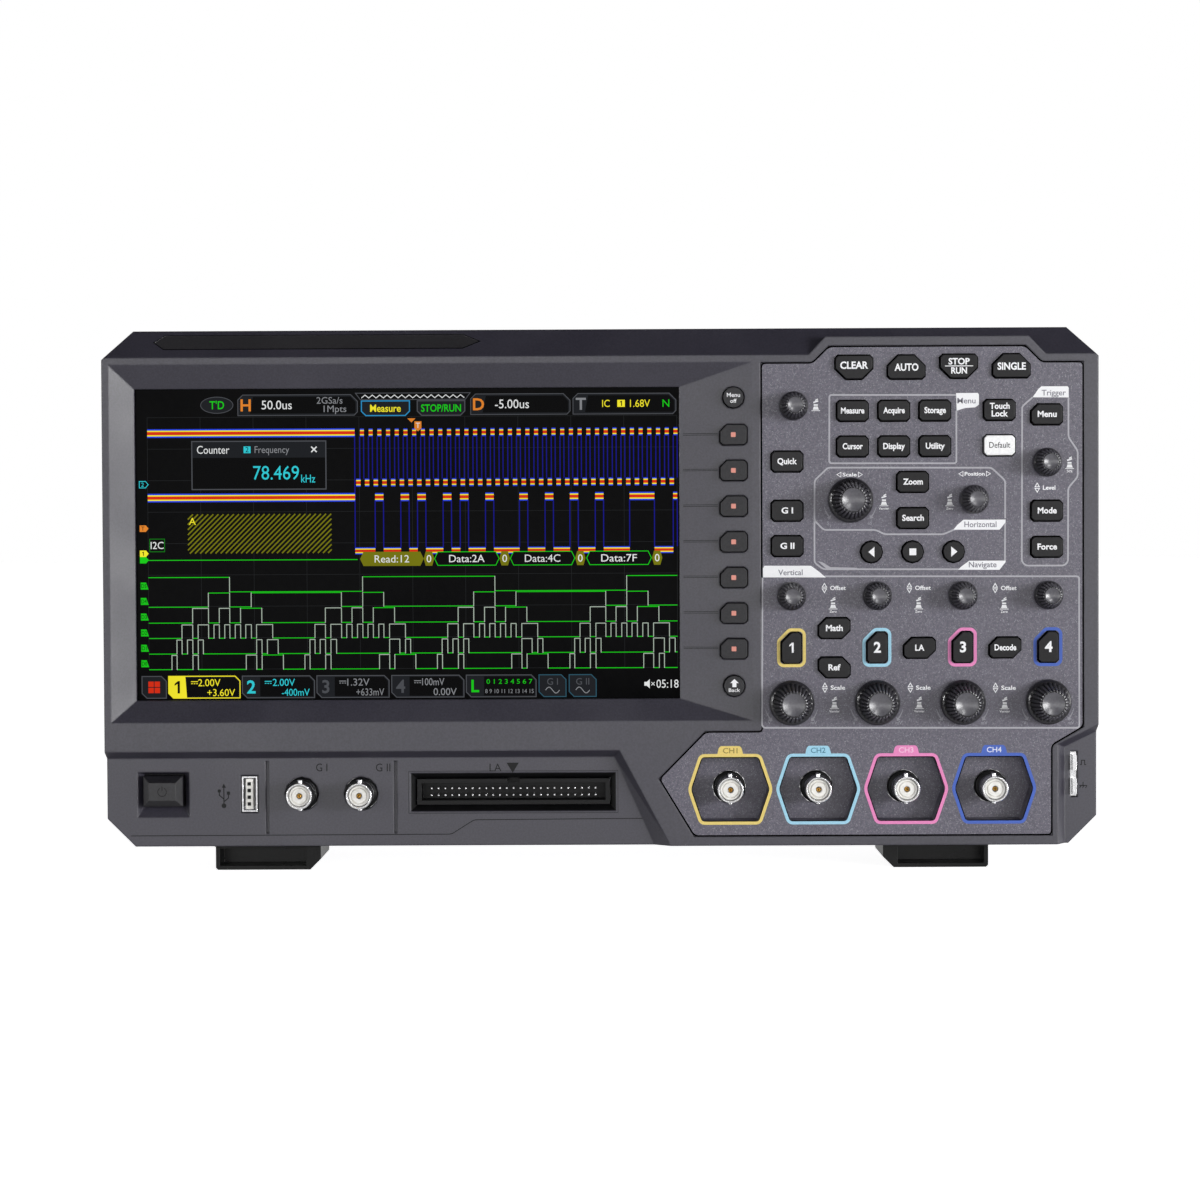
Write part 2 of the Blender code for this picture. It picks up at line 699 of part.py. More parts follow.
def power_button(finish):
    bm = bmesh.new()
    outline = power_outline()
    rim = FACE + CAVITY_LEVEL + SEAT_GAP
    stepped(bm, [
        (grown(outline, -2.3), FACE + LOWER_LEVEL - 3.4), (outline, FACE + LOWER_LEVEL - 1.2), (outline, rim),
        (grown(outline, 1.0), rim), (grown(outline, 1.0), rim + 1.2), (grown(outline, -3.5), rim + 1.2),
        (grown(outline, -3.5), rim + 6),
    ])
    solid("power_button", bm, finish, (power_x(), FACE + LOWER_LEVEL, LOWER_ROW_Z + 1.2))


def knobs(finish):
    """Each knob with its encoder shaft, turned about its own axis."""
    for name, right_by, down_by, size in all_knobs():
        x, z = PANEL_LEFT + right_by, PANEL_TOP - down_by
        front = FACE - size["height"]
        skirt = FACE - KNOB_LIFT
        bm = bmesh.new()
        turned(bm, (x, z), [
            (FACE + ENCODER_LEVEL - SEAT_GAP, SHAFT_RADIUS), (skirt, SHAFT_RADIUS), (skirt, size["skirt"]),
            (skirt - 2.4, size["skirt"]), (skirt - 4.0, size["grip"]), (front, size["cap"]),
        ])
        solid(name, bm, finish, (x, FACE, z))


# ---------------------------------------------------------------- screen and boards

def screen(finishes):
    window = rectangle(
        (SCREEN_LEFT + SCREEN_RIGHT) / 2, (SCREEN_BOTTOM + SCREEN_TOP) / 2,
        SCREEN_RIGHT - SCREEN_LEFT, SCREEN_TOP - SCREEN_BOTTOM,
    )
    glass = FACE + SCREEN_SLOPE_DEPTH + LIP_THICKNESS + SEAT_GAP
    bm = shape(lambda m: prism(m, grown(window, GLASS_BORDER), glass, glass + GLASS_THICKNESS))
    solid("touch_glass", bm, finishes["glass"])
    module = max(glass + GLASS_THICKNESS, FACE + CAVITY_LEVEL) + SEAT_GAP
    bm = shape(lambda m: prism(m, grown(window, GLASS_BORDER + 2.0), module, module + DISPLAY_MODULE_DEPTH))
    solid("display_module", bm, finishes["metal"])


def front_board(finish):
    """The circuit board behind the panel, with a switch for each key and an encoder for each knob."""
    level = FACE + BOARD_LEVEL
    low_x, high_x = SOFTKEY_X - 7.5, PANEL_RIGHT - 2
    low_z, high_z = BOTTOM + 46, PANEL_TOP - 1.5
    bm = shape(lambda m: box(m, (low_x, level, low_z), (high_x, level + BOARD_THICKNESS, high_z)))
    board = solid("front_board", bm, finish)
    half = SWITCH_SIZE / 2

    def middle(outline):
        return sum(x for x, _ in outline) / len(outline), sum(z for _, z in outline) / len(outline)

    def parts(m):
        keys = [key_outline(key) for key in single_keys()] + menu_key_outlines() + navigate_key_outlines()
        for outline in keys:
            x, z = middle(outline)
            box(m, (x - half, level - 4.8, z - half), (x + half, level + 0.5, z + half))
        for outline in softkey_outlines():
            x, z = middle(outline)
            box(m, (x - half, level - 2.0, z - half), (x + half, level + 0.5, z + half))
        for _, right_by, down_by, _ in all_knobs():
            x, z, size = PANEL_LEFT + right_by, PANEL_TOP - down_by, ENCODER_SIZE / 2
            box(m, (x - size, FACE + ENCODER_LEVEL, z - size), (x + size, level + 0.5, z + size))

    combine(board, shape(parts), "UNION")


def chassis_plate(finish):
    """The sheet-metal plate that ties the front to the boards, with posts for the main board."""
    level = FACE + 26.0
    outline = grown(body_outline(), -WALL - 1.5)
    bm = shape(lambda m: prism(m, outline, level, level + 1.5))
    plate = solid("chassis_plate", bm, finish)

    def posts(m):
        for x in (-1, 1):
            for z in (BOTTOM + 22, TOP - 42):
                turned(m, (x * 95.0, z), [(level + 0.5, 3.5), (level + 7.0, 3.5)], segments=8)

    combine(plate, shape(posts), "UNION")
    slots = [rectangle(x, TOP - 24, 50, 8) for x in (-120, -40, 40, 120)]
    slots += [rectangle(x, BOTTOM + 10, 30, 7) for x in (-150, 0, 150)]
    combine(plate, shape(lambda m: [prism(m, slot, level - 1, level + 3) for slot in slots]), "DIFFERENCE")


def main_board(finish):
    """The acquisition board with its finned heat sink and screening can."""
    level = FACE + 33.3
    bm = shape(lambda m: box(m, (-108, level, BOTTOM + 12), (108, level + BOARD_THICKNESS, TOP - 32)))
    board = solid("main_board", bm, finish)

    def parts(m):
        box(m, (-20, level + 1, BOTTOM + 70), (30, level + 5, BOTTOM + 120))
        box(m, (45, level + 1, BOTTOM + 16), (100, level + 9, BOTTOM + 50))

    def fins(m):
        for i in range(8):
            x = -18.5 + i * 6.5
            box(m, (x, level + 4, BOTTOM + 71), (x + 1.6, level + 14, BOTTOM + 119))

    combine(board, shape(parts), "UNION")
    combine(board, shape(fins), "UNION")


# ---------------------------------------------------------------- connectors

def bore_and_contact(mouth, inward):
    """The stations of a coaxial connector's bore and the contact that stands in it."""
    floor, tip = mouth + inward * BORE_DEPTH, mouth + inward * 1.5
    return [(mouth, BARREL_BORE), (floor, BARREL_BORE), (floor, CONTACT_RADIUS), (tip, CONTACT_RADIUS)]


def barrel(bm, x, z, base, front):
    """One bayonet connector: collar, barrel, bore and contact."""
    collar = front + BARREL_LENGTH - 3.0
    outside = [(base, COLLAR_RADIUS), (collar, COLLAR_RADIUS), (collar, BARREL_RADIUS)]
    turned(bm, (x, z), [*outside, (front, BARREL_RADIUS), *bore_and_contact(front, 1)])


def connector_bank(name, centres, z, plate_front, front, finish):
    """Connectors that share one ground plate behind the panel."""
    low, high = centres[0] - 9, centres[-1] + 9
    bm = shape(lambda m: box(m, (low, plate_front, z - 9), (high, plate_front + 2, z + 9)))
    bank = solid(name, bm, finish)
    combine(bank, shape(lambda m: [barrel(m, x, z, plate_front + 1, front) for x in centres]), "UNION")

    def lugs(m):
        for x in centres:
            for side in (-1, 1):
                low_z, high_z = sorted((z + side * (BARREL_RADIUS - 0.3), z + side * (BARREL_RADIUS + 0.9)))
                box(m, (x - 1.0, front + 4.0, low_z), (x + 1.0, front + 6.0, high_z))

    combine(bank, shape(lugs), "UNION")


def socket(bm, outer, front, back, wall, floor, tongue=None, tongue_front=None):
    """A box socket open to the front, with or without a contact tongue standing on its floor."""
    inner = grown(outer, -wall)
    stations = [(outer, back), (outer, front), (inner, front), (inner, floor)]
    if tongue:
        stations += [(tongue, floor), (tongue, tongue_front)]
    stepped(bm, stations)


def connectors(finishes):
    channels = [channel_x(i) for i in range(4)]
    plate = FACE + WINDOW_DEPTH + WINDOW_WALL + SEAT_GAP
    front = FACE + WINDOW_DEPTH - BARREL_LENGTH
    connector_bank("channel_connectors", channels, CONNECTOR_Z, plate, front, finishes["nickel"])
    plate = FACE + CAVITY_LEVEL + SEAT_GAP
    front = FACE + LOWER_LEVEL - BARREL_LENGTH + 3.6
    connector_bank("generator_connectors", generator_xs(), LOWER_ROW_Z, plate, front, finishes["nickel"])
    level = FACE + LOWER_LEVEL
    bm = bmesh.new()
    shell = rectangle(usb_x(), LOWER_ROW_Z, USB_WIDTH, USB_HEIGHT)
    tongue = rectangle(usb_x(), LOWER_ROW_Z, 1.8, USB_HEIGHT - 2.1)
    socket(bm, shell, level - 0.2, level + 14, 0.5, level + 11, tongue, level + 1.8)
    solid("usb_port", bm, finishes["nickel"])
    bm = bmesh.new()
    shell = rectangle(logic_x(), LOGIC_Z, LOGIC_WIDTH, LOGIC_HEIGHT)
    socket(bm, shell, level + 1.5, level + 14, 1.6, level + 10)
    header = solid("logic_connector", bm, finishes["black"])
    key_slot = rectangle(logic_x(), LOGIC_Z + LOGIC_HEIGHT / 2, 4.5, 5.0)
    combine(header, shape(lambda m: prism(m, key_slot, level, level + 8)), "DIFFERENCE")
    probe_terminals(finishes["nickel"])


def probe_terminals(finish):
    """The two compensation terminals on their carrier in the right-hand zone."""
    x, z, level = terminal_x(), BOTTOM + 25.6, FACE + LOWER_LEVEL
    bm = shape(lambda m: box(m, (x - 1.15, level + 1.5, z - 8.2), (x + 1.15, level + 9, z + 8.2)))
    carrier = solid("probe_terminals", bm, finish)

    def tabs(m):
        for side in (-1, 1):
            middle = z + side * 4.4
            box(m, (x - 0.8, level - 1.8, middle - 2.9), (x + 0.8, level + 2, middle + 2.9))

    combine(carrier, shape(tabs), "UNION")


# ---------------------------------------------------------------- legs and handle

def front_legs(finish):
    """Two folding legs, hollow at the front. Each lies flat under the housing and swings down on its pins."""
    front = LEG_PIVOT_Y + LEG_BARREL - LEG_SINK
    top = BOTTOM - LEG_CLEARANCE
    for name, outer, inner in leg_sides():
        sign = 1 if inner > outer else -1
        low, high = sorted((outer, inner))
        outline = [
            (outer, 0.8), (outer + sign * 0.8, 0), (inner - sign * LEG_BEVEL, 0), (inner, LEG_BEVEL),
            (inner, top), (outer, top),
        ]
        bm = shape(lambda m: prism(m, outline[::sign], front, front + LEG_LENGTH))
        leg = solid(name, bm, finish, ((outer + inner) / 2, LEG_PIVOT_Y, LEG_PIVOT_Z))

        def neck(m):
            box(m, (low + 1, LEG_PIVOT_Y - 0.5, top - 0.8), (high - 1, front + 1, LEG_PIVOT_Z))

        def barrel_and_pins(m):
            turned(m, (LEG_PIVOT_Y, LEG_PIVOT_Z), [
                (low - LEG_PIN_LENGTH, PIN_RADIUS), (low, PIN_RADIUS), (low, LEG_BARREL), (high, LEG_BARREL),
                (high, PIN_RADIUS), (high + LEG_PIN_LENGTH, PIN_RADIUS),
            ], axis="X", segments=12)

        def hollow(m):
            near, far = outer + sign * LEG_SKIN, inner - sign * (LEG_BEVEL + LEG_SKIN)
            box(m, (min(near, far), front - 1, LEG_SKIN), (max(near, far), front + 12, top - LEG_SKIN))

        for part, operation in ((neck, "UNION"), (barrel_and_pins, "UNION"), (hollow, "DIFFERENCE")):
            combine(leg, shape(part), operation)


def handle_pocket_box(extra):
    """The corners of the pocket in the rear cover's top, made larger by a wall."""
    half = HANDLE_SPAN / 2 + 2.0 + extra
    front = HANDLE_BAR_Y - FINGER_GAP - extra
    back = HANDLE_PIVOT_Y + HANDLE_THICKNESS / 2 + 1.2 + extra
    return (-half, front, TOP - HANDLE_POCKET_DEPTH - extra), (half, back, TOP)


def carry_handle(finish):
    """The carrying handle, folded into its pocket. It swings up and back on its two pins."""
    half, arm = HANDLE_SPAN / 2, 11.0
    front = HANDLE_BAR_Y
    back_of_bar = front + HANDLE_BAR
    slope = 9.0
    outline = [
        (-half, front + 4), (-half + 4, front), (half - 4, front), (half, front + 4), (half, HANDLE_PIVOT_Y),
        (half - arm, HANDLE_PIVOT_Y), (half - arm, back_of_bar + slope), (half - arm - slope, back_of_bar),
        (-half + arm + slope, back_of_bar), (-half + arm, back_of_bar + slope), (-half + arm, HANDLE_PIVOT_Y),
        (-half, HANDLE_PIVOT_Y),
    ]
    low, high = HANDLE_PIVOT_Z - HANDLE_THICKNESS / 2, HANDLE_PIVOT_Z + HANDLE_THICKNESS / 2
    bm = shape(lambda m: prism(m, outline, low, high, axis="Z"))
    handle = solid("carry_handle", bm, finish, (0, HANDLE_PIVOT_Y, HANDLE_PIVOT_Z))

    def eyes(m):
        for side in (-1, 1):
            inner, outer = side * (half - arm), side * half
            pin = side * (half + 2.0 + WALL - 0.6)
            turned(m, (HANDLE_PIVOT_Y, HANDLE_PIVOT_Z), [
                (inner, HANDLE_THICKNESS / 2), (outer, HANDLE_THICKNESS / 2), (outer, HANDLE_PIN_RADIUS),
                (pin, HANDLE_PIN_RADIUS),
            ], axis="X", segments=16)

    combine(handle, shape(eyes), "UNION")


# ---------------------------------------------------------------- rear

def cover_sections(inset):
    """The rear cover's outer skin, or its inside when inset by the wall."""
    front = SEAM + SEAT_GAP
    waist = SEAM + STRAIGHT_DEPTH
    shoulder = max(handle_pocket_box(WALL)[1][1] + 1.5, waist + 5)
    share = (shoulder - waist) / (REAR - waist)
    return [
        (grown(body_outline(), -inset), front - (1 if inset else 0)),
        (grown(body_outline(), -inset), waist),
        (grown(body_outline(SIDE_TAPER * share * 0.7), -inset), shoulder),
        (grown(body_outline(SIDE_TAPER, TOP_TAPER), -inset), REAR - inset),
    ]


def side_vents(bm):
    """Upright slots through both sides of the cover."""
    for side in (-1, 1):
        low, high = sorted((side * (RIGHT - SIDE_TAPER - WALL), side * (RIGHT + 1)))
        for i in range(9):
            y = SEAM + 8 + i * 5.2
            box(bm, (low, y, BOTTOM + 55), (high, y + 2.4, TOP - 50))


def fan_grille(bm):
    """Level slots that fill a circle behind the fan."""
    radius = FAN_SIZE / 2 - 3
    for i in range(-5, 6):
        z = FAN_Z + i * 4.6
        half = math.sqrt(radius ** 2 - (z - FAN_Z) ** 2)
        box(bm, (FAN_X - half, REAR - WALL - 1, z - 1.2), (FAN_X + half, REAR + 1, z + 1.2))


def rear_openings(bm):
    prism(bm, rectangle(INLET_X, INLET_Z, INLET_WIDTH + 0.8, INLET_HEIGHT + 0.8), REAR - WALL - 1, REAR + 1)
    prism(bm, rectangle(PORTS_X, PORTS_Z, PORTS_WIDTH - 6, PORTS_HEIGHT - 5), REAR - WALL - 1, REAR + 1)


def rear_cover(finish):
    """The tapered rear shell with its vents, openings and handle pocket."""
    cover = solid("rear_cover", shape(lambda m: stepped(m, cover_sections(0.0))), finish)
    combine(cover, shape(lambda m: stepped(m, cover_sections(WALL))), "DIFFERENCE")
    pocket_low, pocket_high = handle_pocket_box(WALL)
    pocket_high = (*pocket_high[:2], TOP - WALL / 2)
    combine(cover, shape(lambda m: box(m, pocket_low, pocket_high)), "UNION")
    low, high = handle_pocket_box(0.0)
    combine(cover, shape(lambda m: box(m, low, (high[0], high[1], TOP + 1))), "DIFFERENCE")

    def pin_holes(m):
        radius = HANDLE_PIN_RADIUS + PIN_GAP
        for side in (-1, 1):
            ends = [(side * (high[0] - 1), radius), (side * (high[0] + WALL + 1), radius)]
            turned(m, (HANDLE_PIVOT_Y, HANDLE_PIVOT_Z), ends, axis="X", segments=16)

    for cutter in (pin_holes, side_vents, fan_grille, rear_openings):
        combine(cover, shape(cutter), "DIFFERENCE")


def fan_disc(bm, low, high, radius, segments=16):
    turned(bm, (FAN_X, FAN_Z), [(low, radius), (high, radius)], segments=segments)


def fan(finish):
    """The fan's frame with its spokes and motor mount, and the rotor that turns in it."""
    back = REAR - WALL - SEAT_GAP
    front = back - FAN_DEPTH
    half, bore, hub = FAN_SIZE / 2, FAN_SIZE / 2 - 1.6, FAN_SIZE * 0.2
    bm = shape(lambda m: prism(m, rectangle(FAN_X, FAN_Z, FAN_SIZE, FAN_SIZE), front, back))
    frame = solid("fan_frame", bm, finish)

    def spokes(m):
        box(m, (FAN_X - bore - 1, back - 2, FAN_Z - 1.5), (FAN_X + bore + 1, back, FAN_Z + 1.5))

    def crossing_spokes(m):
        box(m, (FAN_X - 1.5, back - 2.01, FAN_Z - bore - 1), (FAN_X + 1.5, back - 0.01, FAN_Z + bore + 1))

    combine(frame, shape(lambda m: fan_disc(m, front - 1, back + 1, bore, 24)), "DIFFERENCE")
    for part in (spokes, crossing_spokes, lambda m: fan_disc(m, back - 2.4, back - 0.2, hub)):
        combine(frame, shape(part), "UNION")
    fan_rotor(front, back, half, hub, finish)


def fan_rotor(front, back, half, hub, finish):
    stations = [(front + 0.5, hub - 1), (front + 1.3, hub), (back - 2.9, hub)]
    bm = shape(lambda m: turned(m, (FAN_X, FAN_Z), stations, segments=16))
    rotor = solid("fan_rotor", bm, finish, (FAN_X, front, FAN_Z))

    def blades(m):
        centre = Vector((FAN_X, 0, FAN_Z))
        for i in range(7):
            angle = 2 * math.pi * i / 7
            radial = Vector((math.cos(angle), 0, math.sin(angle)))
            tangent = Vector((-math.sin(angle), 0, math.cos(angle))) * 4.5
            rings = []
            for reach in (hub - 2, half - 2.8):
                lead, trail = centre + radial * reach - tangent, centre + radial * reach + tangent
                rings.append([
                    (lead.x, front + 1.8, lead.z), (lead.x, front + 3.0, lead.z),
                    (trail.x, back - 4.0, trail.z), (trail.x, back - 5.2, trail.z),
                ])
            loft(m, rings)

    combine(rotor, shape(blades), "UNION")


def power_supply(finish):
    """The supply's case with the mains inlet on its back, which comes out through the cover."""
    back = REAR - 22.0
    front = max(SEAM + 10.0, back - 42.0)
    low_x = INLET_X - 20
    bm = shape(lambda m: box(m, (low_x, front, BOTTOM + 25), (low_x + 72, back, BOTTOM + 135)))
    case = solid("power_supply", bm, finish)

    def inlet(m):
        outer = rectangle(INLET_X, INLET_Z, INLET_WIDTH, INLET_HEIGHT)
        inner = grown(outer, -1.8)
        stepped(m, [(outer, back - 2), (outer, REAR - 0.2), (inner, REAR - 0.2), (inner, REAR - 16)])

    combine(case, shape(inlet), "UNION")


def rear_ports(finish):
    """The bracket with the network, display, device and trigger-output sockets."""
    inside = REAR - WALL - SEAT_GAP
    mouth, depth = REAR - 1.0, inside - 18
    plate = rectangle(PORTS_X, PORTS_Z, PORTS_WIDTH, PORTS_HEIGHT)
    bracket = solid("rear_ports", shape(lambda m: prism(m, plate, inside - 1.5, inside)), finish)
    shells = [(rectangle(PORTS_X + x, PORTS_Z, *size), wall, bore) for x, *size, wall, bore in PORT_SHELLS]
    round_x = PORTS_X + 33

    def clearances(m):
        for outer, wall, _ in shells:
            prism(m, grown(outer, -wall / 2), inside - 3, inside + 1)
        prism(m, circle(round_x, PORTS_Z, (COLLAR_RADIUS + BARREL_BORE) / 2), inside - 3, inside + 1)

    def sockets(m):
        for outer, wall, bore in shells:
            inner = grown(outer, -wall)
            stepped(m, [(outer, depth), (outer, mouth), (inner, mouth), (inner, mouth - bore)])
        outside = [(depth, COLLAR_RADIUS), (mouth, COLLAR_RADIUS)]
        turned(m, (round_x, PORTS_Z), outside + bore_and_contact(mouth, -1))

    combine(bracket, shape(clearances), "DIFFERENCE")
    combine(bracket, shape(sockets), "UNION")


def rear_feet(finish):
    """Rubber feet under the rear cover, narrower where they touch the table."""
    top = BOTTOM - SEAT_GAP
    for name, side in (("rear_foot_left", -1), ("rear_foot_right", 1)):
        x, y = side * (RIGHT - SIDE_TAPER - 30), REAR - 6 - REAR_FOOT_DEPTH / 2
        outline = rectangle(x, y, REAR_FOOT_LENGTH, REAR_FOOT_DEPTH)
        stations = [(grown(outline, -1.0), 0), (outline, 1.0), (outline, top)]
        bm = shape(lambda m: loft(m, [[(a, b, height) for a, b in ring] for ring, height in stations]))
        solid(name, bm, finish)


def main():
    for obj in list(bpy.data.objects):
        bpy.data.objects.remove(obj)
    finishes = {
        "housing": material("housing", (0.075, 0.075, 0.085), 0.45),
        "panel": material("panel", (0.12, 0.12, 0.135), 0.6),
        "dark": material("key_rubber", (0.02, 0.02, 0.022), 0.55),
        "light": material("light_key", (0.85, 0.85, 0.87), 0.45),
        "knob": material("knob", (0.06, 0.06, 0.065), 0.35),
        "glass": material("glass", (0.005, 0.005, 0.006), 0.08),
        "metal": material("sheet_steel", (0.62, 0.63, 0.64), 0.35, 1.0),
        "nickel": material("nickel", (0.75, 0.74, 0.72), 0.22, 1.0),
        "black": material("black_plastic", (0.015, 0.015, 0.016), 0.4),
        "board": material("circuit_board", (0.02, 0.12, 0.05), 0.5),
        "rubber": material("rubber", (0.02, 0.02, 0.02), 0.85),
    }
    front_bezel(finishes["housing"])
    control_panel(finishes["panel"])
    panel_keys(finishes)
    keypads(finishes["dark"])
    power_button(finishes["dark"])
    knobs(finishes["knob"])
    screen(finishes)
    front_board(finishes["board"])
    chassis_plate(finishes["metal"])
    main_board(finishes["board"])
    connectors(finishes)
    front_legs(finishes["black"])
    carry_handle(finishes["black"])
    rear_cover(finishes["housing"])
    fan(finishes["black"])
    power_supply(finishes["metal"])
    rear_ports(finishes["metal"])
    rear_feet(finishes["rubber"])


main()
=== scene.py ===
"""The looks of the bench logic analyser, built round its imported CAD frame.

Lengths are in millimetres until a mesh is made, and MM turns them into metres. The front faces -Y.
"""

import math

import bmesh
import bpy
from mathutils import Matrix, Vector


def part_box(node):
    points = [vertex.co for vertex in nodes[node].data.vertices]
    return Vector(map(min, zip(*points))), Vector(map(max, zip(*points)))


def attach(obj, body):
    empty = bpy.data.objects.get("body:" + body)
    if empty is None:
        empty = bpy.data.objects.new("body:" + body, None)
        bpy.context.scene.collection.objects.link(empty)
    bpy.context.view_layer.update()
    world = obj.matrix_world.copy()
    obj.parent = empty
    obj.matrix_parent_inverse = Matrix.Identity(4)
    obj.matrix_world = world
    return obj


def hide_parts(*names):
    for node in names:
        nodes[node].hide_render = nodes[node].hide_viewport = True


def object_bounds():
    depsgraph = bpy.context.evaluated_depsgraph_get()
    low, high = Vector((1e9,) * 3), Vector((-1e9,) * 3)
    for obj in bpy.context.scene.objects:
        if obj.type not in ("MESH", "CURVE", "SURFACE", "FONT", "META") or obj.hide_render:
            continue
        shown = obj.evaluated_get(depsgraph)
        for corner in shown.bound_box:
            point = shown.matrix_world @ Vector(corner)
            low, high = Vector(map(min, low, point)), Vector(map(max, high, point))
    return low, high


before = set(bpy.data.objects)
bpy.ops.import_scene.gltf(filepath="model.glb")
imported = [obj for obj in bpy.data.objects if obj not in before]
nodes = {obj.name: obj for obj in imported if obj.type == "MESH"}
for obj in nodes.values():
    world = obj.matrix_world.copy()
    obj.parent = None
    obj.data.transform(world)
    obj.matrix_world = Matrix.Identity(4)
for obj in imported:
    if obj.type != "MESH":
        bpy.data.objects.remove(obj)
cad_low, cad_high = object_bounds()
MM = 0.001


def box_of(node):
    """A node's lowest and highest corners, in millimetres."""
    low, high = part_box(node)
    return low / MM, high / MM


def middle_of(node):
    low, high = box_of(node)
    return (low + high) / 2


# ---------------------------------------------------------------- places, from the frame

BEZEL_LOW, BEZEL_HIGH = box_of("front_bezel")
PANEL_LOW, PANEL_HIGH = box_of("control_panel")
GLASS_LOW, GLASS_HIGH = box_of("touch_glass")
FACE = PANEL_LOW.y
LOWER_FACE = FACE + 5.0
KEY_FRONT = box_of("auto_key")[0].y
GLASS_FRONT = GLASS_LOW.y
SLOPE_FOOT = PANEL_HIGH.z - 1.6
PANEL_LEFT = PANEL_HIGH.x - 118.3
SCREEN_LEFT, SCREEN_TOP = GLASS_LOW.x + 3.0, GLASS_HIGH.z - 3.0
CHANNEL_PITCH = 32.45
CHANNEL_X = [PANEL_LEFT - 11.9 + CHANNEL_PITCH * i for i in range(4)]
CHANNEL_Z = BEZEL_LOW.z + 20.9
GENERATORS = middle_of("generator_connectors")
GENERATOR_X = [GENERATORS.x + side * 11.0 for side in (-1, 1)]
INLET_X, INLET_Z = BEZEL_LOW.x + 48.0, BEZEL_LOW.z + 40.0
SOFTKEY_PITCH = 13.15
FIRST_SOFTKEY_Z = box_of("softkey_mat")[1].z - 5.8 - 13.7
INK, LAYER = 0.05, 0.02


def on_panel(points):
    """Points given as (right of the panel's left edge, down from its top), in the frame."""
    return [(PANEL_LEFT + right_by, PANEL_HIGH.z - down_by) for right_by, down_by in points]


def on_lower(points):
    """Points given as (right of the housing's left side, up from its underside), in the frame."""
    return [(BEZEL_LOW.x + right_by, BEZEL_LOW.z + up_by) for right_by, up_by in points]


def on_screen(points):
    """Points given as (right of the screen's left edge, down from its top), in the frame."""
    return [(SCREEN_LEFT + right_by, SCREEN_TOP - down_by) for right_by, down_by in points]


# ---------------------------------------------------------------- outlines

def cut_rectangle(x, z, width, height, cuts):
    """A rectangle with 45-degree corners. The cuts run top left, top right, bottom right, bottom left."""
    a, b, c, d = cuts
    left, right, low, high = x - width / 2, x + width / 2, z - height / 2, z + height / 2
    points = [
        (left + d, low), (right - c, low), (right, low + c), (right, high - b),
        (right - b, high), (left + a, high), (left, high - a), (left, low + d),
    ]
    return [p for i, p in enumerate(points) if p != points[i - 1]]


def rectangle(x, z, width, height):
    return cut_rectangle(x, z, width, height, (0, 0, 0, 0))


def span(left, right, low, high):
    return [(left, low), (right, low), (right, high), (left, high)]


def arc(x, z, radius, start, stop, segments=16):
    """Points from one angle to another, in degrees, anticlockwise from +X."""
    angles = [math.radians(start + (stop - start) * i / segments) for i in range(segments + 1)]
    return [(x + radius * math.cos(a), z + radius * math.sin(a)) for a in angles]


def circle(x, z, radius, segments):
    return arc(x, z, radius, 0, 360, segments)[:-1]


def grown(outline, distance):
    """The outline moved outwards by a distance, with mitred corners. It runs anticlockwise."""
    moved = []
    for i, point in enumerate(outline):
        here = Vector(point)
        before = (here - Vector(outline[i - 1])).normalized()
        after = (Vector(outline[(i + 1) % len(outline)]) - here).normalized()
        a, b = Vector((before.y, -before.x)), Vector((after.y, -after.x))
        moved.append(tuple(here + (a + b) / (1 + a.dot(b)) * distance))
    return moved


def rounded(outline, radius, steps=4, closed=True):
    """The outline with each corner turned into a curve."""
    found = []
    count = len(outline)
    for i, point in enumerate(outline):
        if not closed and i in (0, count - 1):
            found.append(point)
            continue
        here = Vector(point)
        before, after = Vector(outline[i - 1]) - here, Vector(outline[(i + 1) % count]) - here
        reach = min(radius, before.length * 0.45, after.length * 0.45)
        start, stop = here + before.normalized() * reach, here + after.normalized() * reach
        for k in range(steps + 1):
            t = k / steps
            found.append(tuple(start * (1 - t) ** 2 + here * (2 * t * (1 - t)) + stop * t ** 2))
    return found


# ---------------------------------------------------------------- meshes

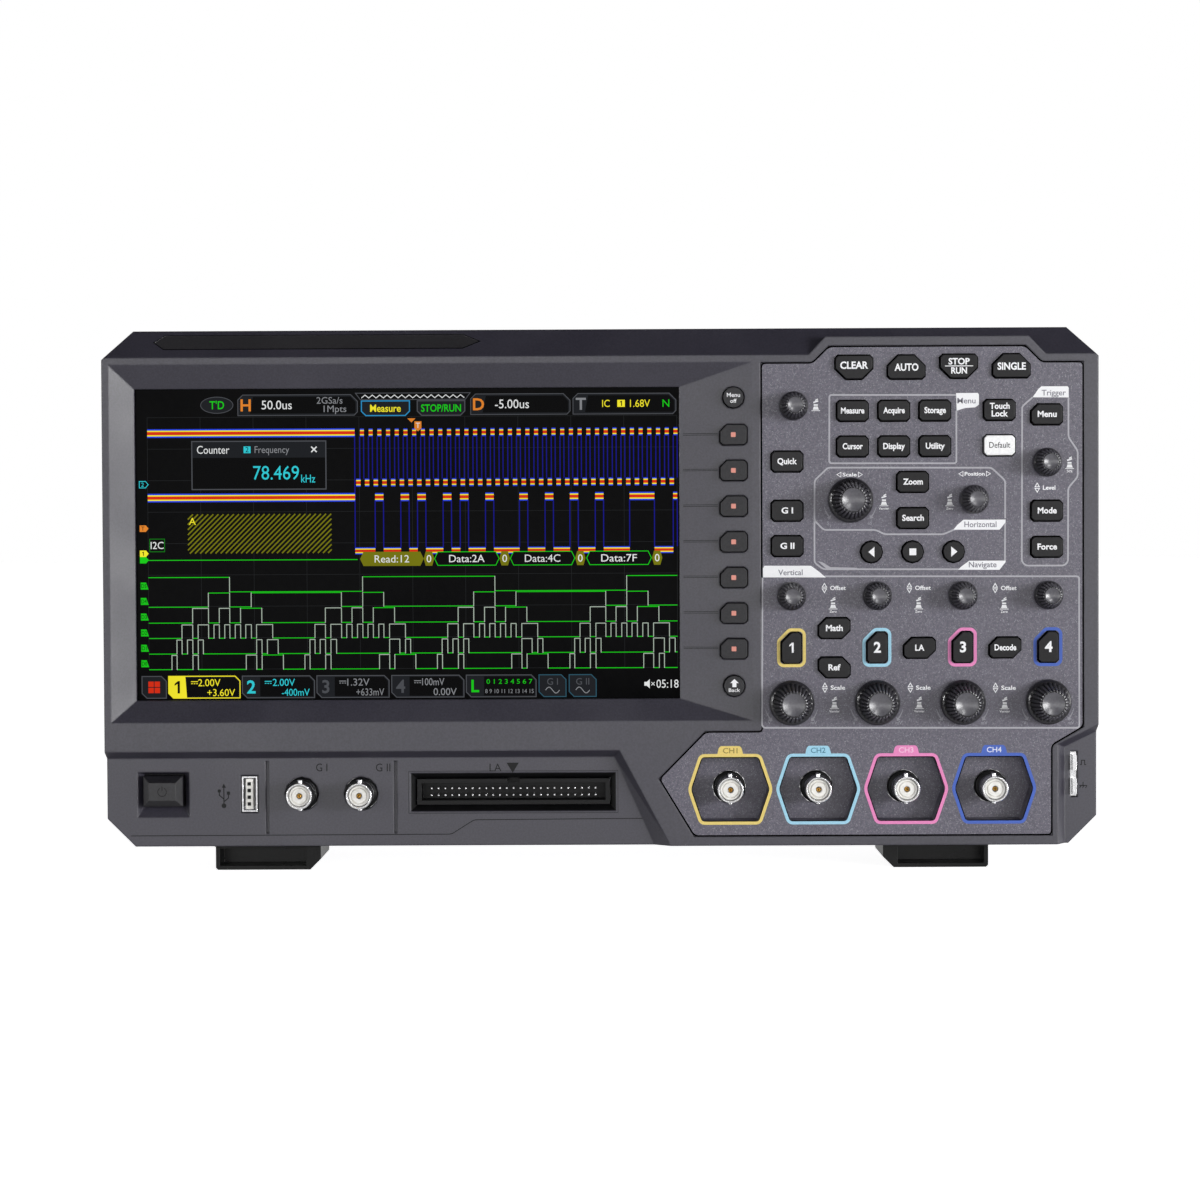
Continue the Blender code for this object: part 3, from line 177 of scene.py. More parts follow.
class Shape:
    """Closed solids gathered into one piece. Each face has the number of its material."""

    def __init__(self):
        self.points, self.faces, self.finishes = [], [], []

    def add(self, points, faces, finish=0):
        base = len(self.points)
        self.points += [tuple(p) for p in points]
        self.faces += [tuple(base + i for i in face) for face in faces]
        self.finishes += [finish] * len(faces)

    def loft(self, rings, finish=0, finish_of=None, caps=True):
        """Skins rings that have the same number of points. finish_of gives the material of each band."""
        count = len(rings[0])
        bands = finish_of or [finish] * (len(rings) - 1)
        faces = [(i, (i + 1) % count, (i + 1) % count + count, i + count) for i in range(count)]
        for near, far, band in zip(rings, rings[1:], bands):
            self.add([*near, *far], faces, band)
        if caps:
            self.add(rings[0], [tuple(range(count))], bands[0])
            self.add(rings[-1], [tuple(range(count))], bands[-1])

    def prism(self, outline, front, back, finish=0):
        self.loft([[(x, y, z) for x, z in outline] for y in (front, back)], finish)

    def flat(self, outline, level, finish=0, thickness=INK):
        """A thin layer that lies on a surface facing forwards."""
        self.prism(outline, level - thickness, level + thickness / 2, finish)

    def line(self, path, width, level, finish=0, closed=False, thickness=INK):
        """A printed line of an even width along a path."""
        path = [p for i, p in enumerate(path) if i == 0 or (Vector(p) - Vector(path[i - 1])).length > 1e-4]
        count = len(path)
        over, under = level - thickness, level + thickness / 2
        rings = []
        for i, point in enumerate(path):
            here = Vector(point)
            before = here - Vector(path[i - 1]) if closed or i else None
            after = Vector(path[(i + 1) % count]) - here if closed or i < count - 1 else None
            before, after = (before or after).normalized(), (after or before).normalized()
            a, b = Vector((-before.y, before.x)), Vector((-after.y, after.x))
            side = (a + b) / max(0.4, 1 + a.dot(b)) * width / 2
            (left, high), (right, low) = here + side, here - side
            rings.append([(left, over, high), (right, over, low), (right, under, low), (left, under, high)])
        self.loft(rings + rings[:1] if closed else rings, finish, caps=not closed)

    def turned(self, centre, stations, segments=32, finish=0, finish_of=None, wave=None, upright=False):
        """A solid turned about Y, or about Z, through (place along it, radius) stations, with closed ends."""
        rings = []
        for k, (along, radius) in enumerate(stations):
            ring = []
            for i in range(segments):
                angle = 2 * math.pi * i / segments
                r = radius - (wave(k, angle) if wave else 0.0)
                a, b = centre[0] + r * math.cos(angle), centre[1] + r * math.sin(angle)
                ring.append((a, b, along) if upright else (a, along, b))
            rings.append(ring)
        self.loft(rings, finish, finish_of)

    def tube(self, centre, stations, segments=32, finish=0):
        """A ring-like solid whose section is a closed loop of (place along Y, radius) stations."""
        rings = [[(centre[0] + r * math.cos(a), y, centre[1] + r * math.sin(a)) for y, r in stations]
                 for a in [2 * math.pi * i / segments for i in range(segments)]]
        self.loft(rings + [rings[0]], finish, caps=False)

    def words(self, text, x, z, level, cap, width=None, finish=0, thickness=INK, bold=0.0, align="CENTER"):
        """Raised lettering. cap is the height of a capital, and (x, z) is the middle of the capitals."""
        if text == "1":
            self.flat([(x + a * cap, z + b * cap) for a, b in FIGURE_ONE], level, finish, thickness)
            return
        points, faces, (low, high) = lettering(text, bold)
        scale = cap / CAP_HEIGHT
        across = width / (high - low) if width else scale
        start = {"CENTER": x - across * (low + high) / 2, "LEFT": x - across * low}[align]
        self.add([
            (start + px * across, level + thickness / 2 - 1.5 * thickness * (pz > 0), z - cap / 2 + py * scale)
            for px, py, pz in points
        ], faces, finish)

    def piece(self, name, materials, body="instrument", slot=None, smooth=None, replaces=(), turn=None):
        """Makes the object, with its origin on the frame's, and rides it on a body."""
        bm = bmesh.new()
        made = [bm.verts.new(Vector(p) * MM) for p in self.points]
        for face, finish in zip(self.faces, self.finishes):
            try:
                bm.faces.new([made[i] for i in face]).material_index = finish
            except ValueError:
                continue
        bmesh.ops.remove_doubles(bm, verts=bm.verts, dist=1e-7)
        bmesh.ops.dissolve_degenerate(bm, edges=bm.edges, dist=1e-8)
        bmesh.ops.recalc_face_normals(bm, faces=bm.faces)
        if turn:
            bmesh.ops.transform(bm, matrix=turn, verts=bm.verts)
        mesh = bpy.data.meshes.new(name)
        bm.to_mesh(mesh)
        bm.free()
        for material in materials:
            mesh.materials.append(material)
        if smooth:
            mesh.shade_smooth()
            mesh.set_sharp_from_angle(angle=math.radians(smooth))
        obj = bpy.data.objects.new(name, mesh)
        bpy.context.scene.collection.objects.link(obj)
        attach(obj, body)
        if replaces:
            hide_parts(*replaces)


LETTERS = {}


def lettering(text, bold):
    """(points, faces, (left, right)) of a word one unit high and one thick, from the built-in font."""
    key = (text, bold)
    if key not in LETTERS:
        curve = bpy.data.curves.new("lettering", "FONT")
        curve.body, curve.size, curve.extrude, curve.offset, curve.resolution_u = text, 1.0, 0.5, bold, 3
        obj = bpy.data.objects.new("lettering", curve)
        bpy.context.scene.collection.objects.link(obj)
        graph = bpy.context.evaluated_depsgraph_get()
        mesh = bpy.data.meshes.new_from_object(obj.evaluated_get(graph))
        points = [tuple(v.co) for v in mesh.vertices]
        faces = [tuple(p.vertices) for p in mesh.polygons]
        bpy.data.objects.remove(obj)
        bpy.data.curves.remove(curve)
        bpy.data.meshes.remove(mesh)
        LETTERS[key] = points, faces, (min(p[0] for p in points), max(p[0] for p in points))
    return LETTERS[key]


CAP_HEIGHT = max(p[1] for p in lettering("H", 0.0)[0])
FIGURE_ONE = [(0.0, -0.5), (0.19, -0.5), (0.19, 0.5), (0.03, 0.5), (-0.24, 0.27), (-0.24, 0.12), (0.0, 0.27)]


# ---------------------------------------------------------------- materials

def rgb(code):
    """A linear colour from its #rrggbb code."""
    parts = [int(code[i:i + 2], 16) / 255 for i in (1, 3, 5)]
    return tuple(((c + 0.055) / 1.055) ** 2.4 if c > 0.04045 else c / 12.92 for c in parts) + (1.0,)


def dimmed(colour, share):
    return tuple(c * share for c in colour[:3]) + (1.0,)


def put(tree, socket, value):
    if isinstance(value, bpy.types.NodeSocket):
        tree.links.new(value, socket)
    else:
        socket.default_value = value


def new_node(tree, kind, settings=(), **inputs):
    made = tree.nodes.new("ShaderNode" + kind)
    for name, value in dict(settings).items():
        setattr(made, name, value)
    for name, value in inputs.items():
        put(tree, made.inputs[name.replace("_", " ")], value)
    return made


def noise(tree, where, scale, detail=2.0, stretch=(1, 1, 1)):
    if stretch != (1, 1, 1):
        where = new_node(tree, "Mapping", Vector=where, Scale=stretch).outputs["Vector"]
    return new_node(tree, "TexNoise", Vector=where, Scale=scale, Detail=detail).outputs["Fac"]


def ramp(tree, factor, stops):
    made = new_node(tree, "ValToRGB", Fac=factor)
    elements = made.color_ramp.elements
    while len(elements) < len(stops):
        elements.new(0.5)
    for element, (place, shade) in zip(elements, stops):
        element.position, element.color = place, shade
    return made.outputs["Color"]


def spread(tree, factor, low, high, start=0.3, stop=0.7):
    made = new_node(tree, "MapRange", Value=factor, From_Min=start, From_Max=stop, To_Min=low, To_Max=high)
    return made.outputs["Result"]


def mixed(tree, factor, first, second):
    made = new_node(tree, "Mix", {"data_type": "RGBA"})
    factor_socket, first_socket, second_socket, result = 0, 6, 7, 2
    for socket, value in ((factor_socket, factor), (first_socket, first), (second_socket, second)):
        put(tree, made.inputs[socket], value)
    return made.outputs[result]


def surface(name, metallic=0.0, specular=0.5):
    made = bpy.data.materials.new(name)
    made.use_nodes = True
    tree = made.node_tree
    shader = tree.nodes["Principled BSDF"]
    shader.inputs["Metallic"].default_value = metallic
    shader.inputs["Specular IOR Level"].default_value = specular
    return made, tree, shader, tree.nodes.new("ShaderNodeTexCoord").outputs["Object"]


def relief(tree, shader, height, bump, edge):
    """A fine relief, over edges that look rounded."""
    round_edges = new_node(tree, "Bevel", {"samples": 4}, Radius=edge * MM).outputs["Normal"]
    raised = new_node(tree, "Bump", Strength=bump, Distance=0.0001, Height=height, Normal=round_edges)
    tree.links.new(raised.outputs["Normal"], shader.inputs["Normal"])


def plastic(name, dark, light, roughness, grain=1600.0, bump=0.12, edge=0.3, dust=0.05, specks=None,
            specular=0.5):
    """Moulded plastic: a fine spark-eroded grain, slow changes of shade and gloss, softened edges."""
    made, tree, shader, where = surface(name, specular=specular)
    fine, broad = noise(tree, where, grain, 3.0), noise(tree, where, 26.0, 3.0)
    shade = ramp(tree, fine, [(0.36, rgb(dark)), (0.64, rgb(light))])
    worn = tuple(min(1.0, c * 1.25 + 0.004) for c in rgb(light)[:3]) + (1.0,)
    shade = mixed(tree, spread(tree, broad, 0.0, dust * 4, 0.45, 0.8), shade, worn)
    if specks:
        colour, share, size = specks
        sparkle = noise(tree, where, size, 1.0)
        shade = mixed(tree, spread(tree, sparkle, 0.0, 1.0, share, share + 0.08), shade, rgb(colour))
    tree.links.new(shade, shader.inputs["Base Color"])
    tree.links.new(spread(tree, broad, roughness - 0.06, roughness + 0.06), shader.inputs["Roughness"])
    relief(tree, shader, fine, bump, edge)
    return made


def metal(name, dark, light, roughness, scratch=(1, 1, 1), bump=0.05):
    """Plated or drawn metal: faint scratches along one direction and uneven gloss."""
    made, tree, shader, where = surface(name, metallic=1.0)
    fine, broad = noise(tree, where, 900.0, 4.0, scratch), noise(tree, where, 60.0, 2.0)
    tree.links.new(ramp(tree, broad, [(0.3, rgb(dark)), (0.7, rgb(light))]), shader.inputs["Base Color"])
    tree.links.new(spread(tree, fine, roughness * 0.7, roughness * 1.35), shader.inputs["Roughness"])
    relief(tree, shader, fine, bump, 0.12)
    return made


def ink(name, code, roughness=0.5, uneven=0.12):
    """Screen-printed ink: even, with a slight mottle."""
    made, tree, shader, where = surface(name, specular=0.25)
    fine = noise(tree, where, 2500.0, 2.0)
    light = rgb(code)
    tree.links.new(ramp(tree, fine, [(0.3, dimmed(light, 1 - uneven)), (0.7, light)]),
                   shader.inputs["Base Color"])
    tree.links.new(spread(tree, fine, roughness - 0.05, roughness + 0.1), shader.inputs["Roughness"])
    return made


def glow(name, code):
    """A lit area of the display, with the faint unevenness of its backlight."""
    made, tree, shader, where = surface(name, specular=0.02)
    broad = noise(tree, where, 30.0, 2.0)
    light = rgb(code)
    shader.inputs["Base Color"].default_value = (0.002, 0.002, 0.002, 1)
    shader.inputs["Roughness"].default_value = 0.25
    tree.links.new(ramp(tree, broad, [(0.35, dimmed(light, 0.88)), (0.65, light)]),
                   shader.inputs["Emission Color"])
    shader.inputs["Emission Strength"].default_value = 1.0
    return made


HOUSING = plastic("housing_plastic", "#2f2d38", "#393743", 0.42, 1500, 0.16, 0.8, specular=0.8)
PANEL = plastic("panel_paint", "#494654", "#5e5a69", 0.44, 1300, 0.2, specks=("#85848d", 0.62, 2600.0),
                specular=0.8)
KEY = plastic("key_plastic", "#111013", "#18171a", 0.36, 1100, 0.06, 0.45, specular=0.28)
SOFTKEY = plastic("softkey_rubber", "#202023", "#29282c", 0.5, 1100, 0.08, 0.45, specular=0.4)
LIGHT_KEY = plastic("light_key_plastic", "#f4f4f6", "#ffffff", 0.35, 1100, 0.04, 0.45)
KNOB = plastic("knob_rubber", "#1f1e22", "#2b2a2f", 0.28, 1400, 0.08, 0.12, specular=0.8)
KNOB_CAP = plastic("knob_cap_plastic", "#545359", "#626167", 0.32, 1300, 0.03, 0.1, specular=0.8)
# Painted highlight: a lighter grey for the knob's front rim, standing in for the light it catches.
KNOB_RIM_HIGHLIGHT = plastic("knob_rim_painted_highlight", "#5c5b61", "#6d6c72", 0.2, 1300, 0.02, 0.1, specular=1.0)
# Black plastic; the squares on the USB tongue also use it as painted shade for the slots there.
BLACK = plastic("black_plastic", "#070708", "#0d0d0f", 0.4, 900, 0.08, 0.2, specular=0.25)
GLOSS_BLACK = plastic("leg_plastic", "#060607", "#0c0c0d", 0.28, 700, 0.05, 0.3, specular=0.25)
POWER = plastic("power_button_plastic", "#1a191d", "#232227", 0.28, 1000, 0.05, 0.5)
RUBBER = plastic("foot_rubber", "#151516", "#1e1e1f", 0.75, 700, 0.2, 0.5)
INSULATOR = plastic("insulator_plastic", "#e4e2dc", "#f6f4ef", 0.4, 500, 0.03, 0.1)
BOARD = plastic("circuit_board", "#0d3a26", "#15503a", 0.35, 220, 0.05, 0.1)
GLASS = plastic("touch_glass", "#020203", "#040405", 0.1, 400, 0.0, 0.2, dust=0.01, specular=0.02)
# Painted shade: black lines laid where the gaps between parts would be in shadow.
PAINTED_GAP_SHADE = plastic("gap_shadow", "#020202", "#050505", 0.8, 900, 0.0, specular=0.0)
PLATE = plastic("name_plate_plastic", "#2b2a2d", "#353437", 0.35, 1500, 0.08, specular=0.8)
NICKEL = metal("nickel_plate", "#d6d6d8", "#efeff1", 0.16, bump=0.02)
STEEL = metal("zinc_plated_steel", "#8f9294", "#a9acae", 0.35, scratch=(1, 1, 8))
GOLD = metal("gold_plate", "#b98a3c", "#d9ab58", 0.25)
DISPLAY_CASE = metal("display_case_steel", "#7b7d80", "#8c8e91", 0.4)
SILVER_INK = ink("silver_ink", "#b4b3ba")
FAINT_INK = ink("faint_ink", "#9a99a1")
WHITE_INK = ink("white_ink", "#f8f8fb", uneven=0.05)
TAB_INK = ink("tab_lettering_ink", "#85848f")
# Black for print, and also painted shade: the grooves on the sloping band and the lower zone, and the screw
# recesses at the back.
BLACK_INK_AND_SHADE = ink("black_ink_and_painted_shade", "#141416", 0.4)
DARK_INK = ink("dark_ink", "#2b2a2e", 0.45)
SOFTKEY_MARK = ink("softkey_mark", "#e69a8c")
BLANK_LABEL = ink("blank_label", "#a9abb0", 0.35)
CHANNEL_INKS = [
    ink(f"channel_ink_{i + 1}", code) for i, code in enumerate(("#f0d77f", "#a9dcf2", "#f290c8", "#4f6cc4"))]
CHANNEL_WORDS = [
    ink(f"channel_word_ink_{i + 1}", code)
    for i, code in enumerate(("#a08d4a", "#4f8ba6", "#ffd3ea", "#e8ecfa"))]

LOOK_OF = {name: look for look, names in (
    (HOUSING, "front_bezel rear_cover carry_handle"), (PANEL, "control_panel"), (GLASS, "touch_glass"),
    (DISPLAY_CASE, "display_module"), (BOARD, "front_board main_board"), (LIGHT_KEY, "default_key"),
    (STEEL, "chassis_plate power_supply"), (BLACK, "fan_frame fan_rotor logic_connector"),
    (NICKEL, "channel_connectors generator_connectors usb_port probe_terminals rear_ports"),
    (RUBBER, "rear_foot_left rear_foot_right"), (GLOSS_BLACK, "front_leg_left front_leg_right"),
    (POWER, "power_button"), (SOFTKEY, "softkey_mat"),
) for name in names.split()}
for node_name, node_object in nodes.items():
    node_object.data.materials.clear()
    node_object.data.materials.append(LOOK_OF.get(node_name, KEY))


# ---------------------------------------------------------------- knobs

def knob(name):
    """A knob with a smooth skirt, a fluted grip that narrows forwards, and a dished cap."""
    low, high = box_of(name)
    centre = (low.x + high.x) / 2, (low.z + high.z) / 2
    skirt, front, back = (high.x - low.x) / 2, low.y, FACE - 0.6
    large = skirt > 7
    flutes, depth = (26, 0.85) if large else (20, 0.65)
    grip, rim, cap = (skirt * share for share in ((0.885, 0.61, 0.51) if large else (0.9, 0.64, 0.53)))
    size = skirt / 8.3
    stations = [
        (back, 3.05), (back, skirt - 0.5), (back - 0.35, skirt), (back - 2.0, skirt),
        (back - 2.5, skirt - 0.3), (back - 2.9, skirt * 0.93), (back - 3.2, grip * 0.985), (back - 3.6, grip),
        *[(front + behind * size, radius) for behind, radius in (
            (1.3, rim * 1.06), (0.65, rim * 1.03), (0.28, rim), (0.06, rim - 0.28 * size), (0.0, cap),
            (0.28, cap - 0.12), (0.42, cap * 0.9), (0.75, cap * 0.7), (1.05, cap * 0.48),
            (1.25, cap * 0.24), (1.32, 0.02),
        )],
    ]
    weight = {6: 0.35, 7: 1.0, 8: 1.0, 9: 1.0, 10: 0.95, 11: 0.7}

    def wave(k, angle):
        return depth * weight.get(k, 0.0) * (1 - abs(math.sin(flutes * angle / 2))) ** 1.6

    # The two bands round the front rim take the lighter rim grey, a painted highlight; the last six form the
    # cap.
    finish_of = [0] * 9 + [2] * 2 + [0] + [1] * 6
    shape = Shape()
    shape.turned(centre, stations, flutes * 8, finish_of=finish_of, wave=wave)
    shape.turned(centre, [(high.y, 2.9), (back - 0.2, 2.9)], 24)
    shape.piece(name + "_detailed", [KNOB, KNOB_CAP, KNOB_RIM_HIGHLIGHT], name, "knob", smooth=42, replaces=[name])


for node_name in nodes:
    if "_knob" in node_name:
        knob(node_name)


# ---------------------------------------------------------------- legends on the keys

def key_words(name, *words, material=WHITE_INK, bold=0.03):
    """Each word is (text, distance above the key's middle, width, height of capitals). A dash is a line."""
    shape = Shape()
    centre = middle_of(name)
    for text, up_by, width, cap in words:
        z = centre.z + up_by
        if text == "-":
            shape.line([(centre.x - width / 2, z), (centre.x + width / 2, z)], cap, KEY_FRONT)
        else:
            shape.words(text, centre.x, z, KEY_FRONT, cap, width, bold=bold)
    shape.piece(name + "_legend", [material], name)


key_words("clear_key", ("CLEAR", 0.7, 10.3, 2.5))
key_words("auto_key", ("AUTO", -0.1, 8.8, 2.5))
key_words("run_stop_key", ("STOP", 1.75, 7.8, 2.2), ("-", 0.05, 10.3, 0.3), ("RUN", -1.6, 5.8, 2.2))
key_words("single_key", ("SINGLE", -0.2, 10.4, 2.5))
key_words("touch_lock_key", ("Touch", 1.45, 7.3, 2.1), ("Lock", -1.35, 6.0, 2.1))
key_words("default_key", ("Default", 0.1, 7.7, 2.1), material=DARK_INK, bold=0.0)
for key_name, text, text_width in (
    ("trigger_menu", "Menu", 7.0), ("trigger_mode", "Mode", 7.0), ("trigger_force", "Force", 7.2),
    ("zoom", "Zoom", 7.3), ("search", "Search", 8.0), ("quick", "Quick", 7.2), ("generator_1", "G I", 4.3),
    ("generator_2", "G II", 5.2), ("math", "Math", 6.2), ("reference", "Ref", 4.5), ("logic", "LA", 3.4),
    ("decode", "Decode", 8.0),
):
    key_words(key_name + "_key", (text, 0.1, text_width, 2.1))
for number in "1234":
    key_words(f"channel_{number}_key", (number, 0.1, None, 3.7))


def keypad_legends():
    """The menu keys' words and the navigate keys' signs."""
    shape = Shape()
    words = [("Measure", 8.6), ("Acquire", 7.9), ("Storage", 7.9), ("Cursor", 7.4), ("Display", 8.0),
             ("Utility", 7.0)]
    places = on_panel([(x, z) for z in (23.7, 36.8) for x in (33.4, 48.6, 63.7)])
    for (text, width), (x, z) in zip(words, places):
        shape.words(text, x, z + 0.1, KEY_FRONT, 2.1, width, bold=0.03)
    shape.piece("menu_keypad_legends", [WHITE_INK], "menu_keypad")

    shape = Shape()
    back, stop, ahead = on_panel([(40.3, 75.6), (55.4, 75.6), (70.5, 75.6)])
    for (x, z), way in ((back, -1), (ahead, 1)):
        shape.flat([(x - way * 1.0, z - 1.9), (x + way * 1.25, z), (x - way * 1.0, z + 1.9)], KEY_FRONT)
    shape.flat(rectangle(*stop, 2.5, 2.5), KEY_FRONT)
    shape.piece("navigate_keypad_signs", [WHITE_INK], "navigate_keypad")


def softkey_legends():
    """The marks on the mat beside the screen, with words on its two end keys."""
    low, high = box_of("softkey_mat")
    x, front = (low.x + high.x) / 2, low.y
    top, bottom = high.z - 5.8, low.z + 5.8
    marks, words = Shape(), Shape()
    for i in range(7):
        mark = rectangle(x - 0.1, FIRST_SOFTKEY_Z - SOFTKEY_PITCH * i, 1.75, 1.75)
        marks.flat(rounded(mark, 0.3), front)
    for text, z, cap, width in (
        ("Menu", top + 0.9, 1.5, 4.9), ("off", top - 1.3, 1.4, 2.4), ("Back", bottom - 1.5, 1.3, 4.2),
    ):
        words.words(text, x, z, front, cap, width, bold=0.012)
    arrow = [(-0.75, -0.4), (0.75, -0.4), (0.75, 1.1), (1.6, 1.1), (0, 2.6), (-1.6, 1.1), (-0.75, 1.1)]
    words.flat([(x + a, bottom + b) for a, b in arrow], front)
    marks.piece("softkey_marks", [SOFTKEY_MARK], "softkey_mat")
    words.piece("softkey_legends", [WHITE_INK], "softkey_mat")


def power_symbol():
    shape = Shape()
    centre, front = middle_of("power_button"), box_of("power_button")[0].y
    shape.line(arc(centre.x, centre.z, 1.6, 118, 422, 24), 0.3, front)
    shape.line([(centre.x, centre.z + 0.3), (centre.x, centre.z + 2.1)], 0.3, front)
    shape.piece("power_button_symbol", [BLACK_INK_AND_SHADE], "power_button")


keypad_legends()
softkey_legends()
power_symbol()


# ---------------------------------------------------------------- printing on the control panel

GROUPS = [
    [(71.7, 23.8), (71.7, 42.6), (71.2, 43.1), (25.4, 42.9), (24.9, 42.4), (25.0, 18.3), (25.5, 17.8),
     (71.6, 18.0)],
    [(89.3, 64.9), (87.5, 67.4), (71.3, 67.3), (66.9, 69.2), (45.2, 69.1), (42.0, 67.5), (22.8, 67.4),
     (19.4, 63.9), (19.5, 49.2), (24.4, 44.5), (84.6, 44.8), (89.6, 49.5), (89.6, 63.4)],
    [(19.4, 63.9), (19.4, 79.5), (22.7, 81.9), (72.8, 82.1)],
    [(89.6, 64.4), (89.5, 79.0)],
    [(99.7, 19.0), (96.3, 22.0), (95.9, 22.7), (95.7, 79.4), (97.2, 80.9), (111.3, 80.9), (112.7, 79.6),
     (112.8, 52.4), (116.3, 48.3), (116.3, 38.7), (112.9, 33.7), (112.9, 19.1)],
    [(23.0, 84.5), (116.8, 84.9), (116.9, 140.2), (116.3, 140.8), (0.7, 140.3), (-0.1, 139.5), (0.2, 84.9)],
]
WEDGE = [(20.7, 79.0), (22.1, 79.2), (25.2, 81.1), (34.8, 81.4), (36.0, 82.2), (24.2, 82.1)]
# Name, outline, place of the name, its width.
TABS = [
    ("Menu", [(71.6, 17.3), (79.6, 17.3), (80.0, 17.9), (80.0, 21.6), (78.6, 22.6), (75.0, 22.8),
              (71.8, 23.8)], (75.4, 20.1), 6.7),
    ("Trigger", [(102.9, 15.0), (112.6, 15.0), (113.0, 15.6), (113.0, 19.1), (99.7, 19.0), (101.9, 15.9)],
     (107.5, 17.3), 8.9),
    ("Horizontal", [(74.2, 63.9), (89.8, 63.9), (89.6, 65.0), (87.6, 67.6), (70.6, 67.5), (71.9, 65.9)],
     (80.5, 65.6), 11.8),
    ("Navigate", [(76.3, 79.0), (89.8, 79.0), (89.7, 79.6), (87.5, 82.4), (72.3, 82.3), (73.2, 81.3)],
     (81.3, 80.4), 10.2),
    ("Vertical", [(0.4, 81.4), (1.0, 80.5), (18.1, 80.6), (21.1, 82.8), (23.5, 84.9), (0.4, 84.8)],
     (10.5, 83.0), 9.0),
]
PRESS_SIGNS = {
    "": [(20.0, 21.9)], "50%": [(113.3, 43.6)],
    "Zero": [(69.2, 57.1), (26.2, 94.9), (57.7, 95.0), (89.2, 95.2)],
    "Vernier": [(45.0, 57.0), (26.6, 131.7), (57.9, 131.8), (89.4, 132.0)],
}
# Text, width, places.
UP_DOWN_SIGNS = [
    ("Offset", 5.8, [(23.0, 88.8), (54.3, 88.9), (85.9, 89.1)]),
    ("Scale", 5.4, [(23.1, 125.6), (54.6, 125.7), (86.0, 125.9)]), ("Level", 4.6, [(101.4, 52.2)]),
]
# Text, height of capitals, places.
SCALE_ENDS = [
    ("S", 1.1, [(24.4, 64.9)]), ("nS", 1.1, [(39.8, 65.0)]),
    ("V", 1.2, [(2.6, 138.4), (33.8, 138.6), (65.2, 138.7), (96.8, 138.9)]),
    ("mV", 1.2, [(19.0, 138.5), (50.3, 138.6), (81.8, 138.8), (113.8, 138.9)]),
]


def printed_groups():
    """Outlines that group the controls, with their named tabs."""
    lines, tabs, words = Shape(), Shape(), Shape()
    for path in GROUPS:
        lines.line(rounded(on_panel(path), 1.0, closed=False), 0.6, FACE)
    lines.flat(on_panel(WEDGE), FACE, thickness=INK * 1.2)
    for text, outline, place, across in TABS:
        tabs.flat(on_panel(outline), FACE, thickness=INK * 1.4)
        words.words(text, *on_panel([place])[0], FACE - INK, 2.0, across, thickness=INK * 1.2, bold=0.01)
    lines.piece("panel_group_lines", [SILVER_INK])
    tabs.piece("panel_group_tabs", [WHITE_INK])
    words.piece("panel_group_names", [TAB_INK])


def knob_signs():
    """What each knob does and what pressing it does."""
    signs = Shape()
    for caption, places in PRESS_SIGNS.items():
        for x, z in on_panel(places):
            press_sign(signs, x, z, caption)
    for text, across, places in UP_DOWN_SIGNS:
        for x, z in on_panel(places):
            for way in (-1, 1):
                foot = z + way * 0.3
                signs.line([(x - 0.8, foot), (x + 0.8, foot), (x, z + way * 1.7)], 0.28, FACE, closed=True)
            signs.words(text, x + 2.1, z, FACE, 1.5, across, bold=0.025, align="LEFT")
    for text, place, across in (("Scale", (32.4, 47.1), 5.2), ("Position", (78.4, 47.0), 7.4)):
        x, z = on_panel([place])[0]
        signs.words(text, x, z, FACE, 1.3, across, bold=0.025)
        for way in (-1, 1):
            foot = x + way * (across / 2 + 0.6)
            signs.line([(foot, z - 0.9), (foot, z + 0.9), (foot + way * 1.5, z)], 0.22, FACE, closed=True)
    signs.piece("panel_knob_signs", [WHITE_INK])


def press_sign(shape, x, z, caption):
    """A finger that presses a button: the printed sign for pushing a knob in."""
    shape.flat([(x - 1.15, z - 1.3), (x + 1.15, z - 1.3), (x + 0.75, z - 0.1), (x - 0.75, z - 0.1)], FACE)
    shape.flat(span(x - 0.75, x + 0.75, z + 0.15, z + 0.75), FACE)
    shape.line([(x - 0.9, z + 1.35), (x + 0.9, z + 1.95)], 0.55, FACE)
    shape.line([(x - 0.2, z + 2.1), (x + 0.8, z + 2.65)], 0.4, FACE)
    shape.line([(x - 1.6, z - 1.65), (x + 1.6, z - 1.65)], 0.25, FACE)
    if caption:
        shape.words(caption, x, z - 2.6, FACE, 0.85, None, bold=0.012)


def scale_signs():
    """The curved arrows under the scale knobs, and the units at the ends of each scale."""
    faint, reach = Shape(), 9.9
    for text, cap, places in SCALE_ENDS:
        for x, z in on_panel(places):
            faint.words(text, x, z, FACE, cap, bold=0.01)
    for name in ["horizontal_scale_knob", *(f"scale_knob_{i + 1}" for i in range(4))]:
        centre = middle_of(name)
        for way in (-1, 1):
            angles = [math.radians(90 - way * 127 + way * k) for k in (22, 14, 6, 0)]
            sweep = [(centre.x + reach * math.cos(a), centre.z + reach * math.sin(a)) for a in angles]
            for k, wide in enumerate((0.25, 0.4, 0.55)):
                faint.line(sweep[k:k + 2], wide, FACE)
            tip = Vector(sweep[3])
            ahead = (tip - Vector(sweep[2])).normalized()
            side = Vector((-ahead.y, ahead.x)) * 0.95
            faint.flat([tuple(tip + ahead * 1.1), tuple(tip - side), tuple(tip + side)], FACE)
    faint.piece("panel_scale_signs", [FAINT_INK])


